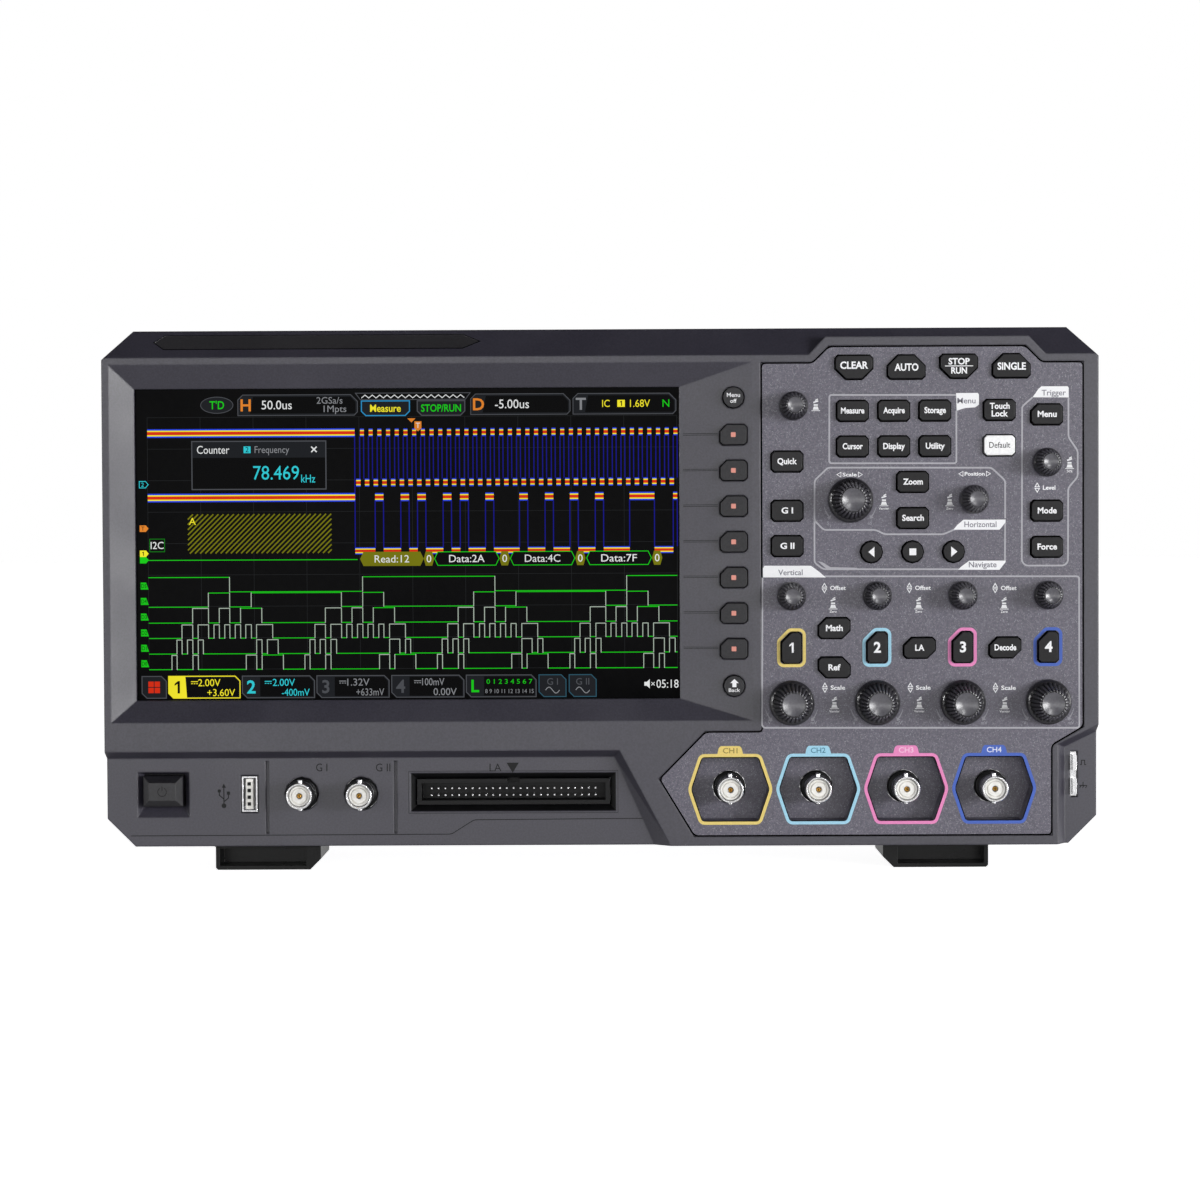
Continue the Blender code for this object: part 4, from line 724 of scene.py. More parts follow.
def front_outlines(node, level):
    """The closed outlines of a node's flat surface at one level along Y: its own edge and its holes."""
    mesh, edges = nodes[node].data, set()
    for polygon in mesh.polygons:
        corners = [mesh.vertices[v].co / MM for v in polygon.vertices]
        if any(abs(corner.y - level) > 0.01 for corner in corners):
            continue
        flat = [(round(corner.x, 2), round(corner.z, 2)) for corner in corners]
        for a, b in zip(flat, flat[1:] + flat[:1]):
            if (b, a) in edges:
                edges.remove((b, a))
            elif a != b:
                edges.add((a, b))
    following, outlines = dict(sorted(edges)), []
    while following:
        point, path = next(iter(following)), []
        while point in following:
            path.append(point)
            point = following.pop(point)
        if len(path) > 2:
            outlines.append(path)
    return outlines


def shadow_gaps():
    """Painted shade: a black line round the control panel, and round each key and window in it, where the gaps
    would be dark.
    """
    shape = Shape()
    outlines = front_outlines("control_panel", FACE)
    widest = max(outlines, key=lambda path: max(x for x, _ in path) - min(x for x, _ in path))
    shafts = [middle_of(name) for name in nodes if "_knob" in name]
    for path in outlines:
        x, z = (sum(p[i] for p in path) / len(path) for i in (0, 1))
        if any(math.hypot(x - shaft.x, z - shaft.z) < 2.0 for shaft in shafts):
            continue
        path, width = (rounded(path, 1.6), 0.55) if path is widest else (path, 0.4)
        shape.line(path, width, FACE, closed=True, thickness=INK * 0.8)
    shape.piece("panel_gap_shade", [PAINTED_GAP_SHADE])


def blank_plate():
    """A pointed plate on the sloping edge above the screen, with nothing on it."""
    slope = max(
        (face for face in nodes["front_bezel"].data.polygons if face.normal.z > 0.2 and face.normal.y < -0.2
         and face.center.z / MM > SLOPE_FOOT and abs(face.normal.x) < 0.01), key=lambda face: face.area)
    up = slope.normal.cross(Vector((1, 0, 0)))
    up *= math.copysign(1, up.z)
    start = slope.center / MM
    start = start + up * ((BEZEL_HIGH.z + SLOPE_FOOT) / 2 - start.z) / up.z
    half = (BEZEL_HIGH.z - SLOPE_FOOT) / up.z * 0.3
    left, right = BEZEL_LOW.x + 18.6, BEZEL_LOW.x + 139.3
    outline = [(left, 0), (left + 4.0, -half), (right - 6.4, -half), (right, 0), (right - 6.4, half),
               (left + 4.0, half)]
    turn = Matrix((
        (1, -slope.normal.x, up.x, 0), (0, -slope.normal.y, up.y, start.y * MM),
        (0, -slope.normal.z, up.z, start.z * MM), (0, 0, 0, 1),
    ))
    shape = Shape()
    shape.flat(outline, 0.0)
    # A black line round the plate: painted shade for the gap at its edge.
    shape.line(outline, 0.3, 0.0, 1, closed=True, thickness=INK * 1.2)
    shape.piece("blank_name_plate", [PLATE, PAINTED_GAP_SHADE], turn=turn)


def channel_marks():
    """The coloured ring round each channel key, and the frame and named tab round each input."""
    z = CHANNEL_Z
    top = z + 12.9
    for i, x in enumerate(CHANNEL_X):
        shape, words = Shape(), Shape()
        key = middle_of(f"channel_{i + 1}_key")
        ring = cut_rectangle(key.x, key.z, 9.5, 13.2, (4.0, 1.2, 1.2, 1.2))
        shape.line(rounded(ring, 0.8, 3), 1.15, FACE, closed=True)
        window = [(x - 10.4, z - 11.8), (x + 10.4, z - 11.8), (x + 14.4, z), (x + 10.4, z + 11.8),
                  (x - 10.4, z + 11.8), (x - 14.4, z)]
        shape.line(rounded(grown(window, 0.72), 1.6), 1.15, FACE, closed=True)
        tab = [(x - 4.8, top), (x + 4.8, top), (x + 4.2, top + 2.4), (x + 3.5, top + 3.1),
               (x - 3.5, top + 3.1), (x - 4.2, top + 2.4)]
        shape.flat(rounded(tab, 0.5, 3), FACE, thickness=INK * 1.2)
        shape.piece(f"channel_{i + 1}_frame", [CHANNEL_INKS[i]])
        words.words(f"CH{i + 1}", x, top + 1.4, FACE - INK, 1.9, 5.4, thickness=INK * 1.2, bold=0.01)
        words.piece(f"channel_{i + 1}_name", [CHANNEL_WORDS[i]])


printed_groups()
knob_signs()
scale_signs()
shadow_gaps()
blank_plate()
channel_marks()


# ---------------------------------------------------------------- the lower zone

def lower_zone_print_and_groove_shade():
    shape = Shape()
    for text, place, across in (("G I", (79.7, 29.2), 4.2), ("G II", (102.5, 29.1), 5.4),
                                ("LA", (144.2, 28.9), 4.4)):
        shape.words(text, *on_lower([place])[0], LOWER_FACE, 2.9, across)
    shape.flat(on_lower([(152.9, 30.7), (150.6, 26.9), (148.3, 30.7)]), LOWER_FACE)
    usb_sign(shape, *on_lower([(43.3, 18.8)])[0])
    # A black line along the groove near the underside: painted shade standing in for the groove.
    groove = on_lower([(8.6, 4.0), (127.7, 4.2), (136.2, 9.5), (200.8, 9.8), (205.6, 1.0)])
    shape.line(rounded(groove, 1.0, closed=False), 0.3, LOWER_FACE)
    low, high = box_of("probe_terminals")
    x, upper, under = (low.x + high.x) / 2 + 3.4, high.z - 3.9, low.z + 3.9
    step = [(-1.2, -0.8), (-0.6, -0.8), (-0.6, 0.8), (0.6, 0.8), (0.6, -0.8), (1.2, -0.8)]
    shape.line([(x + a, upper + b) for a, b in step], 0.32, LOWER_FACE)
    shape.line([(x, under + 1.4), (x, under)], 0.32, LOWER_FACE)
    shape.line([(x - 1.4, under), (x + 1.4, under)], 0.32, LOWER_FACE)
    for k in (-1.2, -0.1, 1.0):
        shape.line([(x + k + 0.5, under), (x + k - 0.1, under - 0.9)], 0.28, LOWER_FACE)
    shape.piece("lower_zone_signs_and_groove_shade", [BLACK_INK_AND_SHADE])


def usb_sign(shape, x, z):
    """The generic trident for a serial bus socket, standing upright."""
    line = 0.4
    shape.line([(x, z - 4.0), (x, z + 3.4)], line, LOWER_FACE)
    shape.flat(circle(x, z - 3.7, 0.9, 20), LOWER_FACE, thickness=INK * 1.1)
    shape.flat([(x - 0.8, z + 3.0), (x + 0.8, z + 3.0), (x, z + 4.6)], LOWER_FACE)
    shape.line([(x, z - 2.2), (x + 1.7, z - 0.8), (x + 1.7, z + 0.7)], line, LOWER_FACE, thickness=INK * 1.2)
    shape.flat(rectangle(x + 1.7, z + 1.0, 1.2, 1.2), LOWER_FACE, thickness=INK * 1.1)
    shape.line([(x, z - 1.2), (x - 1.7, z + 0.2), (x - 1.7, z + 1.4)], line, LOWER_FACE, thickness=INK * 1.3)
    shape.flat(circle(x - 1.7, z + 1.8, 0.65, 16), LOWER_FACE, thickness=INK * 1.1)


def softkey_leads():
    """Two fine grooves from the screen's edge to each key beside it, on the sloping band, drawn as thin black
    strips: painted shade in place of cut grooves.
    """
    shape = Shape()
    slope, slope_width, slope_depth, half = SCREEN_LEFT + 201.5, 26.7, 4.5, 0.1
    for i in range(7):
        for shift in (0.0, 0.55):
            z = FIRST_SOFTKEY_Z - SOFTKEY_PITCH * i + shift
            shape.loft([[
                (slope + along, FACE + slope_depth * (1 - along / slope_width) + lift, z + side)
                for lift, side in ((-INK, -half), (-INK, half), (INK, half), (INK, -half))
            ] for along in (1.4, 14.2)])
    shape.piece("softkey_leads", [BLACK_INK_AND_SHADE])


def jacks(name, centres, z, nut):
    """Coaxial jacks: plated barrels with bayonet lugs, white insulators, gilt centre contacts."""
    low, high = box_of(f"{name}_connectors")
    front, plate = low.y, high.y - 2.0
    foot = plate + 0.5

    def section(*stations):
        return [(front + behind, radius) for behind, radius in stations]

    barrel = section((0.35, 4.05), (0, 4.25), (0, 4.6), (0.3, 4.85), (7.5, 4.85), (7.8, 4.6), (8.6, 4.6),
                     (8.9, 4.85))
    insulator = section((8.2, 1.1), (1.4, 1.1), (1.2, 1.3), (1.2, 2.7), (1.8, 2.8), (1.8, 3.0), (1.2, 3.1),
                        (1.2, 3.6), (1.5, 3.8), (8.2, 3.8))
    contact = section((8.2, 0.3), (1.7, 0.3), (1.5, 0.4), (1.5, 0.6), (1.8, 0.8), (8.2, 0.8))
    shape = Shape()
    shape.prism(span(low.x, high.x, low.z, high.z), plate, high.y)
    for x in centres:
        shape.tube((x, z), [(foot, 4.05), *barrel, (foot, 4.85)], 64)
        shape.turned((x, z), [(front + 8.0, 4.2), (foot, 4.2)], 32)
        shape.turned((x, z), [(nut - 0.7, 4.7), (nut - 1.0, 5.6), (nut - 0.6, 5.95), (foot, 5.95)], 64, 1)
        for side in (-1, 1):
            lug = [(z + side * out, radius) for out, radius in ((4.4, 1.0), (5.5, 1.0), (5.75, 0.8))]
            shape.turned((x, front + 5.0), lug, 20, upright=True)
        shape.tube((x, z), insulator, 48, 2)
        shape.tube((x, z), contact, 24, 3)
    shape.piece(f"{name}_jacks", [NICKEL, BLACK, INSULATOR, GOLD], slot="nickel", smooth=38,
                replaces=[f"{name}_connectors"])


def header_pins():
    """The logic input's bevelled frame and its fifty pins, each tapered to its tip."""
    low, high = box_of("logic_connector")
    around = span(low.x - 0.3, high.x + 0.3, low.z - 0.3, high.z + 0.3)
    sections = [(2.75, -INK), (1.75, 0.42), (0.03, 2.4), (0.12, 2.48), (1.85, 0.52), (2.85, 0.03)]
    rings = [[(x, LOWER_FACE + level, z) for x, z in grown(around, out)] for out, level in sections]
    shape = Shape()
    shape.loft([*rings, rings[0]], caps=False)
    shape.piece("logic_input_frame", [BLACK])

    shape, pitch, half, tip = Shape(), 2.54, 0.32, LOWER_FACE + 2.6
    for i in range(25):
        for row in (-1, 1):
            x, z = (low.x + high.x) / 2 + (i - 12) * pitch, (low.z + high.z) / 2 + row * pitch / 2 - 0.1
            shape.loft([[(a, y, b) for a, b in span(x - size, x + size, z - size, z + size)]
                        for y, size in ((LOWER_FACE + 10.2, half), (tip + 0.25, half), (tip, half * 0.8))])
    shape.piece("logic_header_pins", [NICKEL])


def usb_details():
    low, high = box_of("usb_port")
    x, z, front = (low.x + high.x) / 2, (low.z + high.z) / 2, low.y
    tongue, contacts, springs = Shape(), Shape(), Shape()
    tongue.prism(rounded(rectangle(x - 0.2, z, 2.6, 11.2), 0.3), front + 1.0, front + 10.9)
    for i in range(4):
        # Four black squares on the tongue: painted shade for the dark slots at its contacts.
        contacts.flat(rectangle(x - 0.3, z + (i - 1.5) * 2.5, 1.3, 1.3), front + 1.0)
    spring = ((2.3, 1.0), (2.05, 3.0), (2.3, 6.5), (2.4, 6.5), (2.4, 1.0))
    for side in (-1, 1):
        for at in (-2.6, 2.6):
            springs.loft([[(x + side * out, front + y, z + at + h) for out, y in spring] for h in (-0.9, 0.9)])
    tongue.piece("usb_tongue", [INSULATOR])
    contacts.piece("usb_slot_shade", [BLACK])
    springs.piece("usb_springs", [NICKEL])


lower_zone_print_and_groove_shade()
softkey_leads()
jacks("channel", CHANNEL_X, CHANNEL_Z, FACE + 9.9)
jacks("generator", GENERATOR_X, GENERATORS.z, LOWER_FACE - 0.1)
header_pins()
usb_details()


# ---------------------------------------------------------------- the picture on the screen

SHADES = {name: glow("lit_" + name, code) for name, code in (
    ("dark_grey", "#1b1d21"), ("grey_edge", "#4b4d52"), ("grey", "#85878b"), ("white", "#e6e8e8"),
    ("yellow", "#f3e72c"), ("olive", "#75750a"), ("green", "#16c916"), ("dim_green", "#0c7a12"),
    ("cyan", "#30cbd6"), ("blue", "#2744dd"), ("deep_blue", "#121284"), ("orange", "#e2842b"),
    ("red", "#d72d10"), ("pale_green", "#aebcae"), ("grid", "#26282a"), ("black", "#020203"),
    ("azure", "#2a8fc4"), ("slate", "#2a5263"),
)}
START, SPLIT, END = 4.4, 81.3, 200.7


def box(left, top, right, low, cuts=(0, 0, 0, 0)):
    """A box on the screen, with 45-degree corners cut as in cut_rectangle."""
    outline = cut_rectangle((left + right) / 2, -(top + low) / 2, right - left, low - top, cuts)
    return [(x, -z) for x, z in outline]


class Picture(Shape):
    """Flat lit shapes on the screen. Each takes its colour by name, and a layer that says what it lies over."""

    def __init__(self):
        super().__init__()
        self.used = []

    def shade(self, name):
        if name not in self.used:
            self.used.append(name)
        return self.used.index(name)

    def area(self, points, colour, layer=1):
        self.flat(on_screen(points), GLASS_FRONT - LAYER * layer, self.shade(colour), LAYER)

    def bar(self, left, top, right, low, colour, layer=1):
        self.area(box(left, top, right, low), colour, layer)

    def stroke(self, points, width, colour, layer=1, closed=False):
        self.line(on_screen(points), width, GLASS_FRONT - LAYER * layer, self.shade(colour), closed, LAYER)

    def bordered(self, outline, fill, layer, width, colour, over):
        self.area(outline, fill, layer)
        self.stroke(outline, width, colour, over, closed=True)

    def text(self, text, place, cap, colour, width=None, layer=4, bold=0.0):
        x, z = on_screen([place])[0]
        self.words(text, x, z, GLASS_FRONT - LAYER * layer, cap, width, self.shade(colour), LAYER, bold)

    def texts(self, *rows):
        for row in rows:
            self.text(*row)

    def band(self, left, right, level, height=3.2, layer=2):
        """A stretch of trace, whose brightest part is red, then yellow, then blue at its edges."""
        for share, colour, lift in ((1.0, "blue", 0), (0.66, "yellow", 1), (0.36, "red", 2)):
            half = height * share / 2
            self.bar(left, level - half, right, level + half, colour, layer + lift)

    def edge(self, at, top, low, layer=2):
        self.bar(at - 0.2, top, at + 0.2, low, "deep_blue", layer)

    def cross(self, x, z, across, up, width, layer):
        for way in (-1, 1):
            ends = [(x - across, z - up * way), (x + across, z + up * way)]
            self.stroke(ends, width, "white", layer + (way > 0))

    def show(self, name):
        self.piece(name, [SHADES[shade] for shade in self.used])


def screen_grid():
    picture = Picture()
    top, low, across, down = 10.4, 103.8, 10, 8
    for i in range(across + 1):
        x = START + (END - START) * i / across
        picture.stroke([(x, top), (x, low)], 0.12, "grid")
    for i in range(down + 1):
        z = top + (low - top) * i / down
        picture.stroke([(START, z), (END, z)], 0.12, "grid")
    picture.show("screen_grid")


def screen_traces():
    """Two captured signals: steady at the left, then a clock above and its data below."""
    picture = Picture()
    clock_high, clock_low, data_high, data_low, cycles = 16.3, 34.8, 40.2, 60.1, 37
    picture.band(START, SPLIT, clock_high)
    picture.band(START, SPLIT, data_high)
    period = (END - SPLIT) / cycles
    for i in range(cycles):
        x = SPLIT + period * i
        picture.band(x + 0.5, x + 2.1, clock_low, 3.0)
        picture.band(x + period * 0.62, x + period * 0.62 + 1.45, clock_high, 3.0)
        for share in (0.55, 1.0):
            picture.edge(x + period * share + 0.1, clock_high + 1.4, clock_low - 1.4)
    pulses = [(x, 3.1) for x in (90.3, 99.8, 106.0, 115.5, 121.8, 131.2, 143.8, 153.3, 162.5, 171.9)]
    before = SPLIT
    for x, wide in [*pulses, (187.7, 9.2), (200.0, 1.5)]:
        left, right = x - wide / 2, x + wide / 2
        picture.band(left, right, data_high, 3.1)
        for at in (left, right):
            picture.edge(at, data_high + 1.2, data_low - 1.2)
        picture.band(before, left, data_low, 2.6)
        before = right
    picture.edge(SPLIT, clock_high, data_low, 1)
    picture.show("screen_traces")


# Each logic line: its high and low level, whether it starts high, and the places where it changes.
LOGIC_LINES = [
    (69.7, 75.1, True, [34.5, 83.9, 133.0, 181.9]),
    (75.5, 80.7, False, [26.6, 34.5, 42.5, 76.0, 83.9, 91.7, 125.1, 133.0, 140.8, 174.1, 181.9, 189.8]),
    (81.2, 86.6, False, [
        20.7, 26.6, 30.6, 34.5, 38.5, 46.4, 70.0, 76.0, 79.9, 83.9, 87.8, 95.7, 119.3, 125.1, 129.1, 133.0,
        136.9, 144.8, 168.3, 174.1, 177.9, 181.9, 185.8, 193.8]),
    (87.3, 92.3, False, [
        16.7, 20.7, 22.7, 26.6, 28.6, 30.6, 32.6, 34.5, 36.5, 38.5, 40.4, 42.5, 44.4, 50.4, 66.1, 70.0, 72.0,
        76.0, 77.9, 79.9, 81.9, 83.9, 85.8, 87.8, 89.8, 91.7, 93.8, 99.7, 115.4, 119.3, 121.3, 125.1, 127.2,
        129.1, 131.0, 133.0, 135.0, 136.9, 138.9, 140.8, 142.9, 148.8, 164.5, 168.3, 170.4, 174.1, 176.0,
        177.9, 180.0, 181.9, 183.8, 185.8, 187.8, 189.8, 191.8, 197.7]),
    (92.9, 98.1, False, [
        14.8, 16.7, 18.7, 20.7, 22.7, 24.6, 44.4, 46.4, 48.4, 52.4, 64.2, 66.1, 68.0, 70.0, 72.0, 74.1, 93.8,
        97.6, 99.7, 101.6, 113.3, 115.4, 117.3, 119.3, 121.3, 123.2, 142.9, 146.7, 148.8, 150.7, 162.5,
        164.5, 166.4, 168.3, 170.4, 172.3, 191.8, 195.8, 197.7, 199.8]),
    (98.6, 103.9, False, [
        12.9, 14.8, 20.7, 22.7, 40.5, 44.4, 46.4, 54.3, 62.3, 64.2, 70.0, 72.0, 90.0, 93.8, 95.7, 103.5,
        111.5, 113.4, 119.3, 121.3, 139.1, 142.9, 144.8, 152.6, 160.7, 162.5, 168.3, 170.4, 188.1, 191.8,
        193.9, 195.8]),
]


def screen_digital():
    picture = Picture()
    tag_left, tag_right, narrow, thin = 1.5, 4.4, 7, 0.3
    for row, (high, low, up, changes) in enumerate(LOGIC_LINES):
        at = START
        for change in [*changes, END]:
            level = high if up else low
            colour = "pale_green" if change - at < narrow and up else "green"
            picture.stroke([(at, level), (change, level)], thin, colour, 2)
            if change < END:
                picture.stroke([(change, high - 0.1), (change, low + 0.1)], thin, "pale_green", 3)
            at, up = change, not up
        z = (high + low) / 2 + 0.4
        picture.area([(tag_left, z - 1.3), (tag_right - 0.9, z - 1.3), (tag_right, z + 1.3),
                      (tag_left, z + 1.3)], "green", 2)
        picture.text(f"D{5 - row}", (tag_left + 1.2, z), 1.4, "black", 1.9)
    picture.show("screen_logic_lines")


def screen_marks():
    """The level marks at the left, the hatched zone, and the bar of decoded bytes."""
    picture = Picture()
    left, right = 1.3, 4.6

    def pointer(at):
        return [(left, at - 1.2), (right - 1.0, at - 1.2), (right, at), (right - 1.0, at + 1.2),
                (left, at + 1.2)]

    picture.area(pointer(51.5), "orange", 3)
    picture.area(pointer(60.8), "yellow", 3)
    picture.area(pointer(63.2), "green", 2)
    picture.stroke(pointer(35.2), 0.25, "cyan", 3, closed=True)
    picture.texts(("T", (left + 1.2, 51.5), 1.5, "black", None, 5),
                  ("1", (left + 1.2, 60.8), 1.5, "black", None, 5), ("2", (left + 1.2, 35.2), 1.5, "cyan"),
                  ("I2C", (7.75, 57.75), 2.6, "white", 4.8), ("A", (20.9, 48.9), 2.6, "yellow"))
    picture.stroke([(4.4, 63.3), (82.1, 63.3)], 0.3, "green", 2)
    picture.stroke(box(5.0, 55.4, 10.5, 60.1), 0.25, "dim_green", 3, True)
    zone_left, zone_right, zone_top, zone_low, stripe = 19.2, 72.5, 46.3, 60.8, 1.9
    high = zone_low - zone_top
    for i in range(int((zone_right - zone_left + high) / stripe) + 1):
        foot = zone_left - high + stripe * i
        start, stop = max(foot, zone_left), min(foot + high, zone_right)
        if stop - start > 0.3:
            ends = [(start, zone_low - (start - foot)), (stop, zone_low - (stop - foot))]
            picture.stroke(ends, 0.5, "olive", 2)
    top, middle, low = 60.6, 63.1, 65.6
    for left, right, text, colour in (
        (83.2, 106.5, "Read:12", "olive"), (106.8, 110.4, "0", "olive"), (110.7, 134.6, "Data:2A", "black"),
        (134.9, 138.5, "0", "olive"), (138.8, 162.7, "Data:4C", "black"), (163.0, 166.5, "0", "olive"),
        (167.1, 191.1, "Data:7F", "black"), (191.5, 195.0, "0", "olive"),
    ):
        slant, width = (1.2, (right - left) * 0.55) if len(text) > 1 else (0.7, None)
        outline = [(left + slant, top), (right - slant, top), (right, middle), (right - slant, low),
                   (left + slant, low), (left, middle)]
        picture.bordered(outline, colour, 5, 0.28, "green" if colour == "black" else "olive", 6)
        picture.text(text, ((left + right) / 2, middle), 2.7, "white", width, 7)
    picture.area([(100.9, 11.1), (103.9, 11.1), (102.4, 12.6)], "orange", 6)
    picture.area([(103.5, 12.2), (106.1, 12.2), (106.1, 14.8), (104.8, 15.9), (103.5, 14.8)], "orange", 6)
    picture.text("T", (104.8, 13.7), 1.9, "white", layer=7)
    picture.show("screen_marks")


def screen_counter():
    picture = Picture()
    left, right, top, middle, low = 20.9, 70.6, 19.3, 25.4, 37.1
    picture.bar(left, top, right, middle, "dark_grey", 5)
    picture.bar(left, middle, right, low, "black", 5)
    picture.stroke(box(left, top, right, low), 0.4, "grey_edge", 6, closed=True)
    picture.bar(40.1, 21.2, 42.7, 23.7, "cyan", 6)
    picture.texts(("Counter", (28.8, 22.4), 2.9, "white", 12.0, 6), ("2", (41.4, 22.4), 1.9, "black", None, 7),
                  ("Frequency", (50.6, 22.4), 2.5, "grey", 12.8, 6),
                  ("78.469", (52.1, 31.0), 5.0, "cyan", 17.0, 6), ("kHz", (64.0, 33.2), 2.9, "cyan", 5.2, 6))
    picture.cross(66.2, 22.4, 1.0, 1.0, 0.45, 6)
    picture.show("screen_counter")


def screen_top_bar():
    picture = Picture()
    top, low = 2.2, 9.8
    middle = (top + low) / 2
    turns = [2 * math.pi * i / 32 for i in range(32)]
    oval = [(30.3 + 6.0 * math.cos(a), 5.9 + 3.0 * math.sin(a)) for a in turns]
    picture.bordered(oval, "dark_grey", 2, 0.25, "grey_edge", 3)
    picture.text("T'D", (30.3, 5.9), 2.9, "green", 5.4, bold=0.01)
    for left, right, letter, colour in ((38.1, 82.4, "H", "orange"), (124.4, 161.2, "D", "orange"),
                                        (162.3, 200.4, "T", "grey")):
        picture.bordered(box(left, top, right, low, (1.8, 2.5, 1.2, 0)), "dark_grey", 1, 0.3, "grey_edge", 3)
        inner = left + 5.6
        picture.area([(inner, top + 0.7), (right - 2.6, top + 0.7), (right - 0.7, top + 2.7),
                      (right - 0.7, low - 0.7), (inner - 1.2, low - 0.7)], "black", 2)
        picture.text(letter, (left + 2.9, middle), 4.2, colour, bold=0.02)
    picture.bar(178.7, 4.6, 181.5, 7.2, "yellow", 4)
    picture.texts(("50.0us", (52.5, 5.9), 3.2, "white", 11.2), ("2GSa/s", (72.1, 4.3), 2.4, "grey", 9.6),
                  ("1Mpts", (74.1, 7.4), 2.4, "grey", 8.4), ("-5.00us", (139.7, 5.9), 3.2, "white", 12.6),
                  ("1.68V", (187.1, 5.9), 2.7, "yellow", 7.4), ("N", (196.7, 5.9), 2.7, "green"),
                  ("IC", (174.5, 5.9), 2.6, "yellow", 2.8), ("1", (180.1, 5.9), 1.9, "black", None, 5))
    left, right, upper, under, waves = 81.7, 124.2, 1.7, 4.1, 28
    picture.stroke([(left, upper), (right, upper), (right - 1.8, under), (left + 1.8, under)], 0.3,
                   "grey_edge", 2, True)
    picture.stroke([(left + 2.2 + (right - left - 4.4) * i / waves, upper + (0.7 if i % 2 else 1.8))
                    for i in range(waves + 1)], 0.28, "white", 3)
    upper, under = 4.6, 10.0
    for left, right, text, colour, border, share in ((83.9, 101.7, "Measure", "yellow", "azure", 0.64),
                                                     (104.6, 122.2, "STOP/RUN", "green", "grey_edge", 0.84)):
        picture.bordered(box(left, upper, right, under, (0, 0, 1.6, 1.6)), "dark_grey", 3, 0.4, border, 4)
        place = (left + right) / 2, (upper + under) / 2
        picture.text(text, place, 2.6, colour, (right - left) * share, 5, 0.015)
    picture.show("screen_top_bar")


def screen_bottom_bar():
    picture = Picture()
    top, low = 106.4, 114.5
    middle = (top + low) / 2

    def tile(left, right, border):
        picture.bordered(box(left, top, right, low, (0, 1.8, 0, 1.8)), "dark_grey", 1, 0.35, border, 3)

    def window(left, right):
        picture.area(box(left + 6.6, top + 0.5, right - 0.5, low - 0.5, (0, 1.5, 0, 0)), "black", 2)

    left = 1.7
    tile(left, 10.7, "grey_edge")
    for i in (-1, 1):
        for k in (-1, 1):
            x, z = left + 4.5 + i * 1.15, middle + k * 1.15
            picture.bar(x - 1.0, z - 1.0, x + 1.0, z + 1.0, "red", 4)
    for left, right, number, colour, border, upper, under in (
        (11.6, 38.1, "1", "yellow", "yellow", "2.00V", "+3.60V"),
        (39.0, 65.8, "2", "cyan", "grey_edge", "2.00V", "-400mV"),
        (66.7, 93.5, "3", "grey_edge", "grey_edge", "1.32V", "+633mV"),
        (94.5, 121.3, "4", "grey_edge", "grey_edge", "100mV", "0.00V"),
    ):
        tile(left, right, border)
        window(left, right)
        if number == "1":
            picture.area([(left, top), (left + 6.2, top), (left + 6.8, low), (left + 1.8, low),
                          (left, low - 1.8)], "yellow", 4)
        picture.text(number, (left + 3.3, middle), 4.6, "black" if number == "1" else colour, layer=5,
                     bold=0.02)
        reading = "grey" if colour == "grey_edge" else colour
        x = left + 9.6
        picture.stroke([(x - 1.3, top + 2.0), (x + 1.3, top + 2.0)], 0.3, reading, 4)
        for k in (-0.95, 0, 0.95):
            picture.bar(x + k - 0.3, top + 2.6, x + k + 0.3, top + 2.9, reading, 4)
        picture.text(upper, (right - 11.4, top + 2.4), 2.6, reading, 1.65 * len(upper))
        picture.text(under, (right - 7.0, low - 2.0), 2.6, reading, 1.72 * len(under))
    left, right = 122.2, 148.1
    tile(left, right, "grey_edge")
    window(left, right)
    picture.text("L", (left + 3.3, middle), 4.4, "green", bold=0.02)
    picture.text("0 1 2 3 4 5 6 7", (left + 16.0, top + 2.4), 1.7, "green", 17.0)
    picture.text("8 9 10 11 12 13 14 15", (left + 16.0, low - 2.1), 1.5, "grey", 18.0)
    for left, right, text in ((149.2, 159.2, "G I"), (160.4, 170.4, "G II")):
        tile(left, right, "slate")
        x = (left + right) / 2
        picture.text(text, (x, top + 2.5), 2.4, "grey_edge")
        wave = [(x - 2.6 + 5.2 * i / 20, low - 2.4 - 1.1 * math.sin(2 * math.pi * i / 20)) for i in range(21)]
        picture.stroke(wave, 0.3, "grey", 4)
    x, z = 189.7, 109.9
    picture.area([(x - 1.4, z - 0.7), (x - 0.5, z - 0.7), (x + 0.6, z - 1.7), (x + 0.6, z + 1.7),
                  (x - 0.5, z + 0.7), (x - 1.4, z + 0.7)], "white", 3)
    picture.cross(x + 1.8, z, 0.6, 0.6, 0.25, 3)
    picture.text("05:18", (196.9, 109.9), 3.0, "white", 8.2)
    picture.show("screen_bottom_bar")


screen_grid()
screen_traces()
screen_digital()
screen_marks()
screen_counter()
screen_top_bar()
screen_bottom_bar()


# ---------------------------------------------------------------- back

def screws(name, places, level):
    """Countersunk screws with a cross recess, level with a face that looks backwards. The cross and the ring
    round each head are black shapes laid on the surface: painted shade for the recess and the countersink.
    """
    shape, dark = Shape(), Shape()
    for x, z in places:
        dark.turned((x, z), [(level - 0.3, 3.3), (level + 0.012, 3.3)], 28)
        shape.turned((x, z), [(level - 0.2, 3.0), (level + 0.024, 3.0), (level + 0.034, 2.6)], 28)
        for width, height, lift in ((3.2, 0.6, 0.044), (0.6, 3.2, 0.048)):
            dark.prism(rectangle(x, z, width, height), level - 0.1, level + lift)
    shape.piece(name, [STEEL], smooth=35)
    dark.piece(name + "_recess_shade", [BLACK_INK_AND_SHADE])


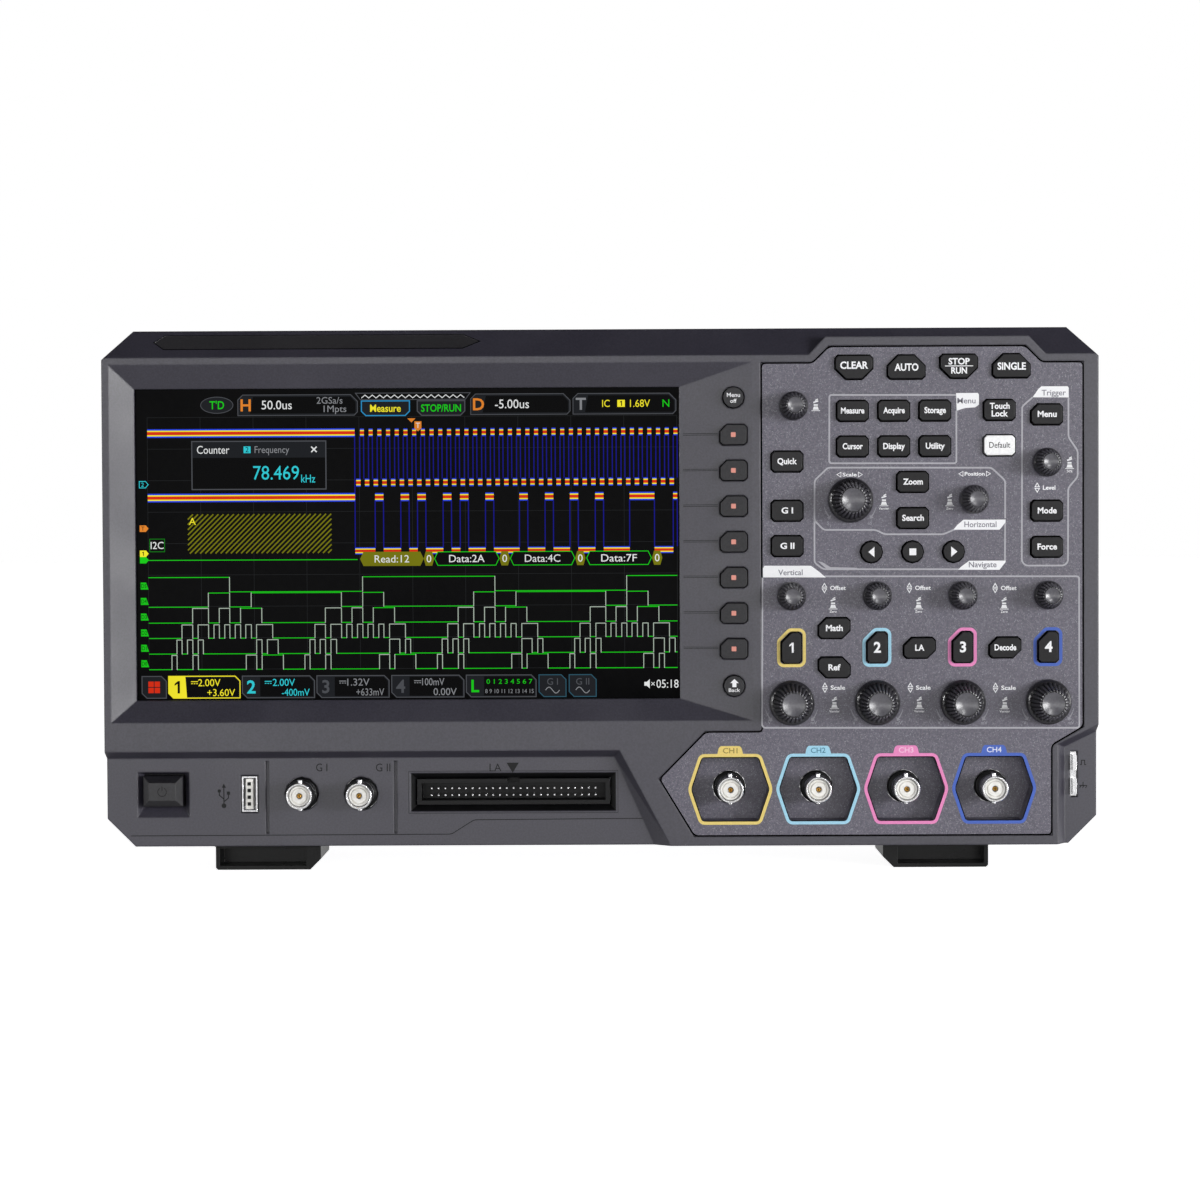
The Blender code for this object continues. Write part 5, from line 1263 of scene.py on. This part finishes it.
def rear_details():
    rear = cad_high.y / MM
    low, high = box_of("rear_cover")
    side, upper, under = high.x - 34, high.z - 25, low.z + 9
    screws("rear_screws", [(x, z) for x in (-side, side) for z in (under, upper)] + [(0, upper)], rear)
    fan = middle_of("fan_frame")
    screws("fan_screws", [(fan.x + a, fan.z + b) for a in (-32, 32) for b in (-32, 32)], rear)
    plate = Shape()
    plate.prism(rounded(rectangle(20.0, 142.0, 92.0, 34.0), 2.0), rear - 0.1, rear + 0.02)
    for i in range(5):
        rule = rectangle(20.0, 152.0 - i * 5.0, 80.0 - 9.0 * (i % 3), 0.7)
        plate.prism(rule, rear - 0.1, rear + 0.045, 1)
    plate.piece("rear_rating_plate", [BLANK_LABEL, BLACK_INK_AND_SHADE])
    pins = Shape()
    for a, b in ((-7.0, -2.6), (0.0, 3.2), (7.0, -2.6)):
        pins.prism(rectangle(INLET_X + a, INLET_Z + b, 2.0, 6.0), rear - 16.2, rear - 3.0)
    pins.piece("inlet_pins", [NICKEL])


rear_details()


# ---------------------------------------------------------------- camera, floor and light

def area_light(name, place, target, size, power, diffuse=True):
    """A softbox, seen only by its light. Without diffuse it gives highlights alone."""
    data = bpy.data.lights.new(name, "AREA")
    data.shape, data.size, data.size_y = "RECTANGLE", size[0], size[1]
    data.energy = power
    light = bpy.data.objects.new(name, data)
    light.visible_camera, light.visible_diffuse = False, diffuse
    light.location = place
    light.rotation_euler = (Vector(target) - Vector(place)).to_track_quat("-Z", "Y").to_euler()
    bpy.context.scene.collection.objects.link(light)


def camera():
    data = bpy.data.cameras.new("camera")
    data.sensor_width, data.lens = 36.0, 81.4
    data.clip_start, data.clip_end = 0.05, 50.0
    eye = bpy.data.objects.new("camera", data)
    place = (0.0036, -1.051, 0.1252)
    yaw, pitch, roll = math.radians(-0.218), math.radians(1.39), math.radians(-0.259)
    turn = Matrix.Rotation(roll, 3, "Y") @ Matrix.Rotation(pitch, 3, "X") @ Matrix.Rotation(yaw, 3, "Z")
    right, ahead, up = turn
    eye.matrix_world = Matrix([(right[i], up[i], -ahead[i], place[i]) for i in range(3)] + [(0, 0, 0, 1)])
    bpy.context.scene.collection.objects.link(eye)
    bpy.context.scene.camera = eye


def floor():
    mesh = bpy.data.meshes.new("floor")
    reach = 12.0
    mesh.from_pydata([(x, y, 0) for x, y in span(-reach, reach, -reach, reach)], [], [(0, 1, 2, 3)])
    obj = bpy.data.objects.new("floor", mesh)
    paint = plastic("floor_paint", "#f2f2f2", "#f8f8f8", 0.7, 300, 0.02, dust=0.0)
    shader = paint.node_tree.nodes["Principled BSDF"]
    shader.inputs["Emission Color"].default_value = (1, 1, 1, 1)
    shader.inputs["Emission Strength"].default_value = 0.92
    mesh.materials.append(paint)
    obj.visible_diffuse = obj.visible_glossy = False
    bpy.context.scene.collection.objects.link(obj)


def surroundings():
    """A room that is white round the horizon, dark overhead, and dimmer below, as over a pale table."""
    world = bpy.data.worlds.new("studio")
    bpy.context.scene.world = world
    world.use_nodes = True
    tree = world.node_tree
    where = tree.nodes.new("ShaderNodeTexCoord").outputs["Generated"]
    height = new_node(tree, "SeparateXYZ", Vector=where).outputs["Z"]
    place = spread(tree, height, 0.0, 1.0, -1.0, 1.0)
    below, white, above = (0.4, 0.4, 0.4, 1), (1, 1, 1, 1), (0.03, 0.03, 0.03, 1)
    shade = ramp(tree, place, [(0.44, below), (0.46, white), (0.615, white), (0.64, above)])
    tree.links.new(shade, tree.nodes["Background"].inputs["Color"])
    tree.nodes["Background"].inputs["Strength"].default_value = 1.0


bpy.context.scene.view_settings.view_transform = "Standard"
camera()
floor()
surroundings()
for light_name, light_place, light_target, light_size, watts, gives_diffuse in (
    ("key", (1.3, -1.1, 0.15), (0.0, 0.0, 0.12), (0.7, 0.5), 21, True),
    ("fill", (-1.1, -1.6, 0.2), (0.0, 0.0, 0.12), (0.9, 0.6), 3.5, True),
    ("side", (1.5, 0.1, 0.2), (0.1, 0.0, 0.1), (0.7, 0.7), 5, True),
    ("front", (0.0, -2.4, 0.14), (0.0, 0.0, 0.12), (1.6, 0.4), 4.5, True),
    ("glint_right", (0.8, -1.3, 0.9), (0.0, 0.0, 0.12), (0.22, 0.22), 5, False),
    ("glint_left", (-1.2, -0.7, 0.3), (0.0, 0.0, 0.12), (0.2, 0.2), 5, False),
):
    area_light(light_name, light_place, light_target, light_size, watts, gives_diffuse)
